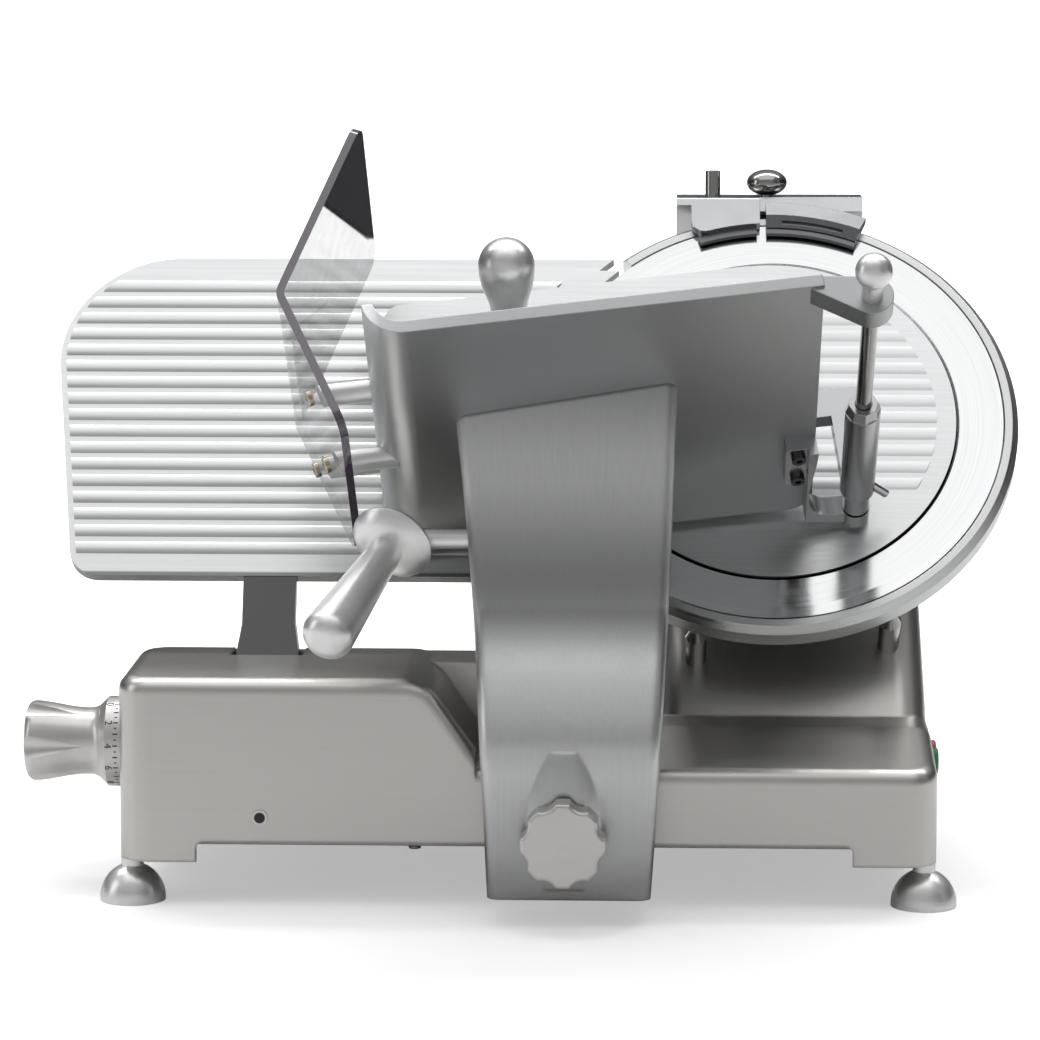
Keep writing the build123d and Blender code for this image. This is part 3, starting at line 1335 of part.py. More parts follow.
# Product table
def table_sheet():
    """Table plate with its left edge curved up into a lip."""
    top = TABLE_TOP_V
    left = TABLE_LEFT
    inner_r = LIP_R - LIP_T
    outline = make_face(
        Polyline((TABLE_RIGHT, top), (TABLE_RIGHT, TABLE_V), (left + LIP_R, TABLE_V))
        + RadiusArc((left + LIP_R, TABLE_V), (left, TABLE_V + LIP_R), LIP_R)
        + Polyline(
            (left, TABLE_V + LIP_R),
            (left, TABLE_V + LIP_NEAR_H),
            (left + LIP_T, TABLE_V + LIP_NEAR_H),
            (left + LIP_T, top + inner_r),
        )
        + RadiusArc((left + LIP_T, top + inner_r), (left + LIP_T + inner_r, top), -inner_r)
        + Line((left + LIP_T + inner_r, top), (TABLE_RIGHT, top))
    )
    table = extrude(Pos(0, 0, TABLE_NEAR_W) * outline, TABLE_FAR_W - TABLE_NEAR_W)
    right = table.edges().filter_by(Axis.Y).group_by(Axis.X)[-1]
    table = fillet(right.sort_by(Axis.Z)[0], TABLE_CORNER_R)
    slope = [
        (TABLE_NEAR_W - 1, TABLE_V + LIP_NEAR_H),
        (TABLE_FAR_W + 1, TABLE_V + LIP_FAR_H),
        (TABLE_FAR_W + 1, TABLE_V + 2 * LIP_NEAR_H),
        (TABLE_NEAR_W - 1, TABLE_V + 2 * LIP_NEAR_H),
    ]
    wedge = make_face(Polyline(*[(0, v, w) for w, v in slope], close=True))
    return table - Pos(left - 1, 0, 0) * extrude(wedge, amount=LIP_R + 1, dir=(1, 0, 0))


def product_table():
    table = table_sheet() + table_lug()
    for w in bracket_screw_ws():
        table -= Pos(SCREW_U, TABLE_V, w) * Rot(90, 0, 0) * Cylinder(SCREW_R, 2 * SCREW_GRIP)
    return on_table(table)


def rod_v():
    return TABLE_V - PUSH_ROD_DROP


def table_lug():
    """Ear at the far right corner that holds the top of the pusher rod."""
    low = LUG_LOW_W
    root = Pos(TABLE_RIGHT - TABLE_T / 2, (TABLE_V + TABLE_TOP_V) / 2) * Rectangle(TABLE_T, TABLE_T)
    eye = Pos(PUSH_ROD_U, rod_v()) * Circle(LUG_R)
    ear = extrude(Pos(0, 0, low) * make_hull(root.edges() + eye.edges()), LUG_T)
    return ear - rod(PUSH_ROD_R, low - 1, low + LUG_T + 1, PUSH_ROD_U, rod_v())


def bracket_screw_ws():
    return [TABLE_NEAR_W + SCREW_FIRST_W, TABLE_NEAR_W + SCREW_FIRST_W + SCREW_PITCH]


def rod_bracket():
    """Foot of the pusher rod: a pad screwed under the table's right edge and a curved web."""
    low, high = bracket_screw_ws()
    foot_w = PUSH_ROD_LOW_W + BRACKET_FOOT_H
    pad_right = TABLE_RIGHT - BRACKET_EDGE
    pad_w = (low - BRACKET_EDGE * 2, high + BRACKET_EDGE * 2)
    pad = block((pad_right - BRACKET_PAD_W, pad_right), (TABLE_V - BRACKET_PAD_T, TABLE_V), pad_w)
    pad = fillet(pad.edges().filter_by(Axis.Y), BRACKET_EDGE / 2)
    clear_u = PUSH_ROD_U - SLEEVE_R - SLEEVE_GAP
    web_u = (pad_right - BRACKET_WEB_LAP, pad_right + BRACKET_EDGE)
    curve = Spline((web_u[1], pad_w[1]), (clear_u, foot_w), tangents=[(0, -1), (1, 0)])
    side = Polyline(
        (clear_u, foot_w),
        (PUSH_ROD_U, foot_w),
        (PUSH_ROD_U, PUSH_ROD_LOW_W),
        (web_u[0], PUSH_ROD_LOW_W + BRACKET_FOOT_H / 2),
        (web_u[0], pad_w[1]),
        (web_u[1], pad_w[1]),
    )
    web = Plane.XZ * make_face(curve + side)
    pad += Pos(0, TABLE_V, 0) * extrude(web, amount=rod_v() - TABLE_V - BRACKET_WEB_T / 2, dir=(0, 1, 0))
    pad += rod(PUSH_ROD_R + BRACKET_WALL, PUSH_ROD_LOW_W, foot_w, PUSH_ROD_U, rod_v())
    pad -= rod(PUSH_ROD_R, PUSH_ROD_LOW_W + ROD_SEAT, foot_w + 1, PUSH_ROD_U, rod_v())
    for w in bracket_screw_ws():
        hole = Cylinder(SCREW_R, 2 * BRACKET_PAD_T)
        pad -= Pos(SCREW_U, TABLE_V - BRACKET_PAD_T, w) * Rot(90, 0, 0) * hole
    return on_table(pad)


def pusher_rod():
    return on_table(rod(PUSH_ROD_R, PUSH_ROD_LOW_W + ROD_SEAT, PUSH_ROD_TOP_W, PUSH_ROD_U, rod_v()))


def rod_nut():
    low = LUG_LOW_W + LUG_T
    nut = Pos(PUSH_ROD_U, rod_v(), low + BALL_NUT_STAND) * Sphere(BALL_NUT_R)
    nut += rod(PUSH_ROD_R + ROD_NUT_WALL, low, low + BALL_NUT_STAND, PUSH_ROD_U, rod_v())
    return on_table(nut - rod(PUSH_ROD_R, low - 1, PUSH_ROD_TOP_W, PUSH_ROD_U, rod_v()))


# Carriage handle
def handle_plane():
    return Plane((HANDLE_X, HANDLE_STEM_Y, HANDLE_STEM_Z), z_dir=HANDLE_DIR)


def handle_stem():
    """Rod out of the arm's side, ending in the domed hand flange."""
    stem = along_x(HANDLE_STEM_R, HANDLE_X, ARM_TOP_LEFT + 20, HANDLE_STEM_Y, HANDLE_STEM_Z)
    stem += Pos(HANDLE_X, HANDLE_STEM_Y, HANDLE_STEM_Z) * Sphere(HANDLE_STEM_R + 2)
    rim = HANDLE_FLANGE_T / 3
    foot_r = HANDLE_FLANGE_R - rim
    outline = Polyline((HANDLE_NECK_R, HANDLE_FLANGE_T), (0, HANDLE_FLANGE_T), (0, 0), (foot_r, 0))
    edge = RadiusArc((foot_r, 0), (HANDLE_FLANGE_R, rim), -rim)
    top = (HANDLE_FLANGE_R * 0.75, HANDLE_FLANGE_T * 0.78)
    dome = ThreePointArc((HANDLE_FLANGE_R, rim), top, (HANDLE_NECK_R, HANDLE_FLANGE_T))
    flange = revolve(Plane.XZ * make_face(outline + edge + dome), Axis.Z)
    return stem + handle_plane().location * flange


def grip(foot_r, neck_r, end_r, length):
    """Tapered grip with a domed end, along local Z from its foot."""
    top = length - end_r
    side = Spline((foot_r, 0), (neck_r, length * 0.24), (end_r, top), tangents=[(-1, 1), (0, 1), (0, 1)])
    dome = RadiusArc((end_r, top), (0, length), -end_r)
    profile = make_face(side + dome + Polyline((0, length), (0, 0), (foot_r, 0)))
    return revolve(Plane.XZ * profile, Axis.Z)


def handle_grip():
    """Straight tapered hand grip with a rounded end."""
    length = HANDLE_L + HANDLE_END_R - HANDLE_FLANGE_T
    body = Pos(0, 0, length / 2) * Cone(HANDLE_NECK_R, HANDLE_END_R, length)
    body = fillet(body.edges().group_by(Axis.Z)[-1], HANDLE_END_R * 0.7)
    return handle_plane().location * Pos(0, 0, HANDLE_FLANGE_T) * body


# Side guard
def sheet_panel(points, grow):
    line = FilletPolyline(*points, radius=SHEET_BEND_R)
    return trace(line, SHEET_T + grow)


def side_guard():
    sheet = extrude(
        Pos(0, 0, SHEET_NEAR_W) * sheet_panel((SHEET_TOP, SHEET_KNEE, SHEET_TOE), 0),
        SHEET_FAR_W - SHEET_NEAR_W,
    )
    corners = sheet.edges().filter_by(lambda e: abs(e.length - SHEET_T) < 0.01)
    return on_blade(fillet(corners, SHEET_CORNER_R))


def spacer_places():
    """Heights above the table's underside and places along the blade axis."""
    return [(TABLE_V + rise, w) for rise, w in zip(SPACER_RISES, SPACER_WS)]


def panel_direction():
    dx = SHEET_TOE[0] - SHEET_KNEE[0]
    ds = SHEET_TOE[1] - SHEET_KNEE[1]
    size = math.hypot(dx, ds)
    return dx / size, ds / size


def panel_meet(v):
    """Where a line along the table at height v meets the middle of the lower panel."""
    dx, ds = panel_direction()
    nx, ns = -ds, dx
    along = nx * math.cos(TURN) + ns * math.sin(TURN)
    start = nx * (-v * math.sin(TURN)) + ns * (v * math.cos(TURN))
    u = (nx * SHEET_KNEE[0] + ns * SHEET_KNEE[1] - start) / along
    return u * math.cos(TURN) - v * math.sin(TURN), u * math.sin(TURN) + v * math.cos(TURN), u


def panel_plane(v, w):
    """Plane on the lower panel with its normal pointing at the table."""
    x, s, u = panel_meet(v)
    dx, ds = panel_direction()
    return Plane((x, s, w), x_dir=(dx, ds, 0), z_dir=(-ds, dx, 0))


def guard_spacers():
    bars = []
    table = table_sheet()
    for v, w in spacer_places():
        u = panel_meet(v)[2]
        reach = TABLE_LEFT + LIP_R / 2
        bar = Pos((u + reach) / 2, v, w) * Rot(0, 90, 0) * Cylinder(SPACER_R, reach - u)
        bar = (bar - table).solids().sort_by(Axis.X)[0]
        side = (-LIP_NEAR_H, LIP_NEAR_H)
        beyond = panel_plane(v, w).location * block(side, side, (-LIP_NEAR_H, SHEET_T / 2))
        bars.append(on_table(bar) - on_blade(beyond))
    return Compound(bars)


def carriage_bolts():
    """Bolt heads on the side guard and the screws of the rod bracket."""
    bolts = []
    for v, w in spacer_places():
        low = -SHEET_T / 2 - SHEET_BOLT_T
        head = fillet(rod(SHEET_BOLT_R, low, -SHEET_T / 2).edges().group_by(Axis.Z)[0], 1)
        head -= Pos(0, 0, low) * extrude(RegularPolygon(SHEET_BOLT_R / 2, 6), SHEET_BOLT_T - 1)
        bolts.append(on_blade(panel_plane(v, w).location * head))
    for w in bracket_screw_ws():
        under = TABLE_V - BRACKET_PAD_T
        screw = rod(SCREW_HEAD_R, 0, SCREW_HEAD_T)
        screw -= extrude(RegularPolygon(SCREW_HEAD_R / 2, 6), SCREW_HEAD_T / 2)
        screw += rod(SCREW_R, SCREW_HEAD_T, SCREW_HEAD_T + BRACKET_PAD_T + SCREW_GRIP)
        bolts.append(on_table(Pos(SCREW_U, under - SCREW_HEAD_T, w) * Rot(-90, 0, 0) * screw))
    return Compound(bolts)


# Pusher
def pusher_bush():
    inner = PUSH_ROD_R + RUN_FIT
    return on_table(ring(PUSH_ROD_R + BUSH_T, inner, SLEEVE_LOW_W, SLEEVE_TOP_W - 2, PUSH_ROD_U, rod_v()))


def pusher_sleeve():
    """Swinging sleeve with its side pin and the arm that carries the plate."""
    v = rod_v()
    neck_low = PUSH_ROD_LOW_W + BRACKET_FOOT_H + SLEEVE_GAP
    cap_low = SLEEVE_TOP_W - SLEEVE_CAP_H
    body = rod(SLEEVE_R, SLEEVE_LOW_W, cap_low, PUSH_ROD_U, v)
    body += rod(SLEEVE_NECK_R, neck_low, SLEEVE_LOW_W, PUSH_ROD_U, v)
    cap = extrude(RegularPolygon(SLEEVE_R, 8), SLEEVE_CAP_H, taper=12)
    body += Pos(PUSH_ROD_U, v, cap_low) * cap
    beam_v = (TABLE_TOP_V + PUSH_BEAM_RISE, TABLE_TOP_V + PUSH_BEAM_RISE + PUSH_BEAM_W)
    plate_top = PUSH_ARM_LOW_W + PUSH_PLATE_T
    arm_w = (plate_top, plate_top + PUSH_ARM_T)
    body += block((PUSH_ROD_U - SLEEVE_R, PUSH_ROD_U + SLEEVE_R), (v, beam_v[1]), arm_w)
    body += block((PUSH_HANDLE_U - PUSH_HANDLE_FOOT_R, PUSH_ROD_U), beam_v, arm_w)
    pin_place = Pos(PUSH_ROD_U, v, SLEEVE_LOW_W + PUSH_PIN_RISE) * Rot(0, PUSH_PIN_TURN, 0)
    body += pin_place * rod(PUSH_PIN_R, 0, PUSH_PIN_L)
    bore = PUSH_ROD_R + BUSH_T + RUN_FIT
    body -= rod(bore, SLEEVE_LOW_W, SLEEVE_TOP_W - 2, PUSH_ROD_U, v)
    return on_table(body - rod(PUSH_ROD_R + SLIDE_GAP, neck_low - 1, SLEEVE_TOP_W + 1, PUSH_ROD_U, v))


def pusher_plate():
    low_v = TABLE_TOP_V + FREE_GAP
    right = TABLE_RIGHT - 8
    plate = block(
        (PUSH_PLATE_LEFT, right),
        (low_v, low_v + PUSH_PLATE_H),
        (PUSH_ARM_LOW_W, PUSH_ARM_LOW_W + PUSH_PLATE_T),
    )
    plate = fillet(plate.edges().filter_by(Axis.Z), 12)
    step_u = (right - PUSH_PLATE_LEFT) / PUSH_TEETH_COLS
    step_v = PUSH_PLATE_H / PUSH_TEETH_ROWS
    for col in range(PUSH_TEETH_COLS):
        for row in range(PUSH_TEETH_ROWS):
            u = PUSH_PLATE_LEFT + (col + 0.5) * step_u
            v = low_v + (row + 0.5) * step_v
            tooth = Pos(u, v, PUSH_ARM_LOW_W - PUSH_TOOTH_L / 2)
            plate += tooth * Cone(0.6, PUSH_TOOTH_R, PUSH_TOOTH_L)
    return on_table(plate)


def pusher_handle():
    foot = PUSH_ARM_LOW_W + PUSH_PLATE_T
    body = grip(PUSH_HANDLE_FOOT_R, PUSH_HANDLE_NECK_R, PUSH_HANDLE_END_R, PUSH_HANDLE_L)
    return on_table(Pos(PUSH_HANDLE_U, PUSH_HANDLE_V, foot) * body)


# Sharpener
def sharpener_arm():
    """Bracket that leans forward from the top of the tower to the sharpener."""
    front_w = TOWER_WALL_W - CORNER_R
    back_w = front_w - SHARP_ARM_T
    low = SHARP_LOW_S + 2
    outline = [
        (TOWER_TOP_S, back_w),
        (TOWER_TOP_S, front_w),
        (SHARP_ARM_KNEE_S, front_w),
        (low, SHARP_BACK_W - SHARP_ARM_T),
        (low, SHARP_BACK_W),
        (SHARP_ARM_TOP_S, SHARP_BACK_W),
        (SHARP_ARM_TOP_S, SHARP_BACK_W - SHARP_ARM_T),
        (SHARP_ARM_KNEE_S + SHARP_ARM_T / 2, back_w),
    ]
    points = [yz(s, w) for s, w in outline]
    arm = side_slab(points, -SHARP_ARM_W / 2, SHARP_ARM_W / 2)
    return fillet(arm.edges().filter_by(Axis.X).sort_by(Axis.Y)[-1], SHARP_ARM_T / 3)


def sharpener_side(front_w):
    """Side outline of the housing: it follows the blade in front and is level on top."""
    top_s = up_blade(SHARP_TOP_Z, front_w)
    back_z = (SHARP_BACK_W + SHARP_BACK_Y * math.cos(LEAN)) / math.sin(LEAN)
    return [
        yz(SHARP_LOW_S, SHARP_BACK_W),
        yz(SHARP_LOW_S, front_w),
        yz(top_s, front_w),
        (SHARP_BACK_Y, SHARP_TOP_Z),
        (SHARP_BACK_Y, back_z),
    ]


def sharpener_housing():
    left = side_slab(sharpener_side(SHARP_FRONT_W), SHARP_LEFT, SHARP_SPLIT_X - SPLIT_GAP / 2)
    left = fillet(left.edges().filter_by(Axis.X).sort_by(Axis.Z)[-2:], SHARP_EDGE_R)
    right = side_slab(sharpener_side(SHARP_SEAT_W), SHARP_SPLIT_X - SPLIT_GAP, SHARP_RIGHT)
    cheek = block(
        (CHEEK_LEFT, SHARP_SPLIT_X - SPLIT_GAP / 2),
        (CHEEK_LOW_R - 2 * CHEEK_CORNER_R, SHARP_LOW_S),
        (SHARP_SEAT_W, SHARP_FRONT_W),
    )
    cheek -= rod(CHEEK_LOW_R, SHARP_SEAT_W - 1, SHARP_FRONT_W + 1)
    cheek = cheek.solids().sort_by(Axis.Y)[-1]
    corner = cheek.edges().filter_by(Axis.Z).group_by(Axis.X)[0].sort_by(Axis.Y)[0]
    cheek = fillet(corner, CHEEK_CORNER_R)
    body = left + right + on_blade(cheek)
    for x in STONE_XS:
        hole = rod(STONE_AXIS_R + RUN_FIT, SHARP_BACK_W - 1, SHARP_BACK_W + STONE_SHAFT_L + 1, x, STONE_S)
        body -= on_blade(hole)
    pin_low = SHARP_TOP_Z - SHARP_PIN_DEPTH - SHARP_PIN_TRAVEL - 1
    body -= rod(SHARP_PIN_R + RUN_FIT, pin_low, SHARP_TOP_Z + 1, SHARP_PIN_X, SHARP_POST_Y)
    stem_low = SHARP_TOP_Z - SHARP_STEM_DEPTH - 1
    return body - rod(SHARP_STEM_R + RUN_FIT, stem_low, SHARP_TOP_Z + 1, SHARP_KNOB_X, SHARP_POST_Y)


def round_band(outline, span):
    """Outline in radius and w, swept about the blade axis between two angles."""
    face = Plane.XZ * make_face(Polyline(*outline, close=True))
    return revolve(Rot(0, 0, span[0]) * face, Axis.Z, span[1] - span[0])


def sharpener_cover():
    """Curved front cover on the right half of the sharpener."""
    outline = [
        (COVER_LOW_R, SHARP_SEAT_W),
        (COVER_TOP_R, SHARP_SEAT_W),
        (COVER_TOP_R, SHARP_FRONT_W - 1),
        (COVER_CREST_R, COVER_CREST_W),
        (COVER_LOW_R, COVER_LOW_W),
    ]
    slot = [
        (COVER_LOW_R + 2, SHARP_FRONT_W - 2),
        (COVER_LOW_R + 4, SHARP_FRONT_W - 2),
        (COVER_LOW_R + 4, COVER_CREST_W + 1),
        (COVER_LOW_R + 2, COVER_CREST_W + 1),
    ]
    slot_span = (COVER_SPAN[0] + 4, COVER_SPAN[1] - 4)
    return on_blade(round_band(outline, COVER_SPAN) - round_band(slot, slot_span))


def sharpener_lips():
    """Dark guards in front of the blade edge, under the sharpener."""
    lips = []
    for high_r, span in ((CHEEK_LOW_R, LEFT_LIP_SPAN), (COVER_LOW_R, COVER_SPAN)):
        outline = [
            (BLADE_LIP_R, SHARP_SEAT_W),
            (high_r, SHARP_SEAT_W),
            (high_r, BLADE_LIP_W),
            (BLADE_LIP_R, BLADE_LIP_W),
        ]
        lips.append(round_band(outline, span))
    return on_blade(Compound(lips))


def sharpener_stone(x):
    """Stone on its own shaft, running in the back of the housing."""
    top = SHARP_BACK_W - STONE_GAP
    return on_blade(
        rod(STONE_R, top - STONE_T, top, x, STONE_S)
        + rod(STONE_AXIS_R, top, SHARP_BACK_W + STONE_SHAFT_L, x, STONE_S)
    )


def sharpener_button():
    """Press pin with a hollow end."""
    top = SHARP_TOP_Z + SHARP_PIN_STAND
    pin = rod(SHARP_PIN_R, SHARP_TOP_Z - SHARP_PIN_DEPTH, top, SHARP_PIN_X, SHARP_POST_Y)
    return pin - rod(SHARP_PIN_R - 2, top - SHARP_PIN_R, top + 1, SHARP_PIN_X, SHARP_POST_Y)


def sharpener_knob():
    """Flattened ball on a stem."""
    middle = SHARP_TOP_Z + SLIDE_GAP + SHARP_KNOB_HALF_H
    ball = scale(Sphere(1), (SHARP_KNOB_R, SHARP_KNOB_R, SHARP_KNOB_HALF_H))
    stem = rod(SHARP_STEM_R, SHARP_TOP_Z - SHARP_STEM_DEPTH, middle, SHARP_KNOB_X, SHARP_POST_Y)
    return Pos(SHARP_KNOB_X, SHARP_POST_Y, middle) * ball + stem


NODES = {
    "base_housing": base_housing,
    "bottom_cover": bottom_cover,
    "bottom_cover_screws": bottom_cover_screws,
    "feet": feet,
    "hole_plug": hole_plug,
    "cable_gland": cable_gland,
    "switch_panel": switch_panel,
    "start_button": lambda: push_button(button_places()[0]),
    "stop_button": lambda: push_button(button_places()[1]),
    "blade": blade,
    "spindle": spindle,
    "spindle_pulley": spindle_pulley,
    "bearing_housing": bearing_housing,
    "spindle_bearings": spindle_bearings,
    "drive_belt": drive_belt,
    "motor_pulley": motor_pulley,
    "motor_body": motor_body,
    "motor_bracket": motor_bracket,
    "ring_guard": ring_guard,
    "guard_posts": guard_posts,
    "blade_cover": blade_cover,
    "cover_tie_rod": cover_tie_rod,
    "tie_rod_knob": tie_rod_knob,
    "gauge_plate": gauge_plate,
    "gauge_slider": gauge_slider,
    "gauge_rod": gauge_rod,
    "dial_cam": dial_cam,
    "dial_bush": dial_bush,
    "dial_ring": dial_ring,
    "thickness_knob": thickness_knob,
    "carriage_rod": carriage_rod,
    "carriage_rod_brackets": carriage_rod_brackets,
    "guide_rail": guide_rail,
    "carriage_slider": carriage_slider,
    "slider_bushes": slider_bushes,
    "slider_roller": slider_roller,
    "carriage_arm": carriage_arm,
    "arm_hinge_pin": arm_hinge_pin,
    "lock_knob": lock_knob,
    "product_table": product_table,
    "rod_bracket": rod_bracket,
    "pusher_rod": pusher_rod,
    "rod_nut": rod_nut,
    "handle_stem": handle_stem,
    "handle_grip": handle_grip,
    "side_guard": side_guard,
    "guard_spacers": guard_spacers,
    "carriage_bolts": carriage_bolts,
    "pusher_bush": pusher_bush,
    "pusher_sleeve": pusher_sleeve,
    "pusher_plate": pusher_plate,
    "pusher_handle": pusher_handle,
    "sharpener_arm": sharpener_arm,
    "sharpener_housing": sharpener_housing,
    "sharpener_cover": sharpener_cover,
    "sharpener_lips": sharpener_lips,
    "grinding_stone": lambda: sharpener_stone(STONE_XS[0]),
    "deburring_stone": lambda: sharpener_stone(STONE_XS[1]),
    "sharpener_button": sharpener_button,
    "sharpener_knob": sharpener_knob,
}


def main():
    os.makedirs("parts", exist_ok=True)
    for name, make in NODES.items():
        export_step(FRAME * make(), os.path.join("parts", name + ".step"))


if __name__ == "__main__":
    main()
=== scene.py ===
import bpy
import bmesh
import math
from mathutils import Matrix, Vector


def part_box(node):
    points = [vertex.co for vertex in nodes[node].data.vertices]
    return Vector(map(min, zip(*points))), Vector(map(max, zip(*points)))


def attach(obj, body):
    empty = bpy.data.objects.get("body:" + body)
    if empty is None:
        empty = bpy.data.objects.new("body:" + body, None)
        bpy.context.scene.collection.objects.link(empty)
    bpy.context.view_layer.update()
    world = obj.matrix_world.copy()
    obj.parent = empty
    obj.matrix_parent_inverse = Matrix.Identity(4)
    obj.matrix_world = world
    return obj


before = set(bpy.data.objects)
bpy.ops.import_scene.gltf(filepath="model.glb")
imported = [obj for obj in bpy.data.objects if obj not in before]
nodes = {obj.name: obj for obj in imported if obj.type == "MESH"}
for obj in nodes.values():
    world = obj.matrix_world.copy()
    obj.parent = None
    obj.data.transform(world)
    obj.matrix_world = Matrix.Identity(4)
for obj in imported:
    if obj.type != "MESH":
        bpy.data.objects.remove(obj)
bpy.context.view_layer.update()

# Where the leaning blade turns: metres, and radians from upright
BLADE_CENTRE = (0.1582, 0.060484, 0.2865)
BLADE_LEAN = math.radians(38)
BLADE_TILT = math.pi / 2 - BLADE_LEAN
BLADE_AXIS = (0.0, -math.cos(BLADE_LEAN), math.sin(BLADE_LEAN))

# Camera of the photograph
EYE = (0.0960, -2.66075, 0.5937)
EYE_TURN = (math.radians(82.13), 0.0, math.radians(2.18))
EYE_LENS = 144.66
SENSOR_W = 36.0

# Studio paper, and the tone of the room by the height that a ray climbs to
FLOOR_HALF = 14.0
BEND_Y = 1.6
BEND_R = 1.6
BACK_TONES = ((0.0, 0.10), (0.18, 0.06), (0.36, 0.13), (0.62, 0.42), (1.0, 0.55))
FRONT_TONES = ((0.0, 0.54), (0.14, 0.50), (0.30, 0.26), (0.62, 0.42), (1.0, 0.55))
FRONT_FADE = (-0.1, -0.8)
RIGHT_FADE = (0.35, 0.85)
RIGHT_SHADE = 0.42
PAPER_GLOW = 0.42

# Printed dial: angle of the zero, angle of a unit, and places from the ring's left face
DIAL_ZERO = 64.0
DIAL_UNIT = 15.0
DIAL_LAST = 20
DIGIT_SIZE = 0.0066
DIGIT_X = 0.0068
TICK_X = 0.0115
TICK_LONG = 0.0031
TICK_SHORT = 0.0014
TICK_W = 0.0008
TICK_T = 0.00012
INK_RISE = 0.00005

# Raised signs of the push buttons
SIGN_SIZE = 0.009
SIGN_T = 0.00025


def fill_ramp(ramp, stops):
    """Put (position, tone) stops on a colour ramp."""
    while len(ramp.elements) < len(stops):
        ramp.elements.new(0.5)
    for element, (position, tone) in zip(ramp.elements, stops):
        element.position = position
        element.color = (*tone, 1.0)


def grey(tone):
    return (tone, tone, tone)


# Finishes
class Finish:
    """A principled material with a few short cuts for wiring its pattern."""

    def __init__(self, name, metallic, roughness):
        self.material = bpy.data.materials.new(name)
        self.material.use_nodes = True
        self.tree = self.material.node_tree
        self.shader = self.tree.nodes["Principled BSDF"]
        self.shader.inputs["Metallic"].default_value = metallic
        self.shader.inputs["Roughness"].default_value = roughness
        self.place = self.node("ShaderNodeTexCoord").outputs["Object"]

    def node(self, kind, **settings):
        made = self.tree.nodes.new(kind)
        for key, value in settings.items():
            setattr(made, key, value)
        return made

    def wire(self, source, target):
        self.tree.links.new(source, target)

    def sums(self, operation, *values):
        made = self.node("ShaderNodeMath", operation=operation)
        for socket, value in zip(made.inputs, values):
            if isinstance(value, (int, float)):
                socket.default_value = value
            else:
                self.wire(value, socket)
        return made.outputs[0]

    def vectors(self, operation, first, second=None):
        made = self.node("ShaderNodeVectorMath", operation=operation)
        for socket, value in zip(made.inputs, (first, second)):
            if value is None:
                continue
            if isinstance(value, tuple):
                socket.default_value = value
            else:
                self.wire(value, socket)
        return made.outputs[0]

    def stretched(self, scale):
        """Object coordinates stretched by scale."""
        made = self.node("ShaderNodeMapping")
        made.inputs["Scale"].default_value = scale
        self.wire(self.place, made.inputs["Vector"])
        return made.outputs[0]

    def axes(self, vector):
        """The X, Y and Z parts of a vector."""
        made = self.node("ShaderNodeSeparateXYZ")
        self.wire(vector, made.inputs[0])
        return made.outputs

    def on_blade(self):
        """Object coordinates about the blade's axis."""
        made = self.node("ShaderNodeMapping", vector_type="TEXTURE")
        made.inputs["Location"].default_value = BLADE_CENTRE
        made.inputs["Rotation"].default_value = (BLADE_TILT, 0, 0)
        self.wire(self.place, made.inputs["Vector"])
        return made.outputs[0]

    def noise(self, where, detail=3.0, rough=0.55):
        """Noise over coordinates that are stretched already."""
        made = self.node("ShaderNodeTexNoise")
        made.inputs["Scale"].default_value = 1.0
        made.inputs["Detail"].default_value = detail
        made.inputs["Roughness"].default_value = rough
        self.wire(where, made.inputs["Vector"])
        return made.outputs["Fac"]

    def even_noise(self, scale, detail=3.0, rough=0.55):
        """Noise as fine one way as another."""
        return self.noise(self.stretched((scale, scale, scale)), detail, rough)

    def between(self, value, low, high, from_low=0.3, from_high=0.7):
        """A value carried from one range to another."""
        made = self.node("ShaderNodeMapRange")
        self.wire(value, made.inputs["Value"])
        made.inputs["From Min"].default_value = from_low
        made.inputs["From Max"].default_value = from_high
        made.inputs["To Min"].default_value = low
        made.inputs["To Max"].default_value = high
        return made.outputs[0]

    def length(self, first, second):
        """How far two parts reach together."""
        squares = [self.sums("MULTIPLY", part, part) for part in (first, second)]
        return self.sums("SQRT", self.sums("ADD", *squares))

    def rough(self, value, low, high, *span):
        """Roughness that follows a value."""
        self.wire(self.between(value, low, high, *span), self.shader.inputs["Roughness"])

    def tones(self, value, *stops):
        """Colour from a value, given (position, tone) stops."""
        made = self.node("ShaderNodeValToRGB")
        fill_ramp(made.color_ramp, stops)
        self.wire(value, made.inputs["Fac"])
        self.wire(made.outputs["Color"], self.shader.inputs["Base Color"])

    def bands(self, axis, stops):
        """Painted reflections: tone lifted or lowered in bands along an axis, given (place, factor)
        stops.
        """
        made = self.node("ShaderNodeValToRGB")
        made.color_ramp.interpolation = "CARDINAL"
        first, last = stops[0][0], stops[-1][0]
        most = 3.0
        steps = [((spot - first) / (last - first), grey(factor / most)) for spot, factor in stops]
        fill_ramp(made.color_ramp, steps)
        along = self.axes(self.place)[axis]
        self.wire(self.between(along, 0.0, 1.0, first, last), made.inputs["Fac"])
        plain = self.shader.inputs["Base Color"].links[0].from_socket
        scaled = self.vectors("SCALE", plain)
        self.wire(self.sums("MULTIPLY", made.outputs["Color"], most), scaled.node.inputs["Scale"])
        self.wire(scaled, self.shader.inputs["Base Color"])

    def relief(self, height, strength, depth, edge=0.0):
        """Bump from a height, over edges softened by a small radius."""
        made = self.node("ShaderNodeBump")
        made.inputs["Strength"].default_value = strength
        made.inputs["Distance"].default_value = depth
        self.wire(height, made.inputs["Height"])
        if edge:
            soft = self.node("ShaderNodeBevel", samples=4)
            soft.inputs["Radius"].default_value = edge
            self.wire(soft.outputs[0], made.inputs["Normal"])
        self.wire(made.outputs[0], self.shader.inputs["Normal"])


def tint(tone, factor):
    return tuple(min(1.0, part * factor) for part in tone)


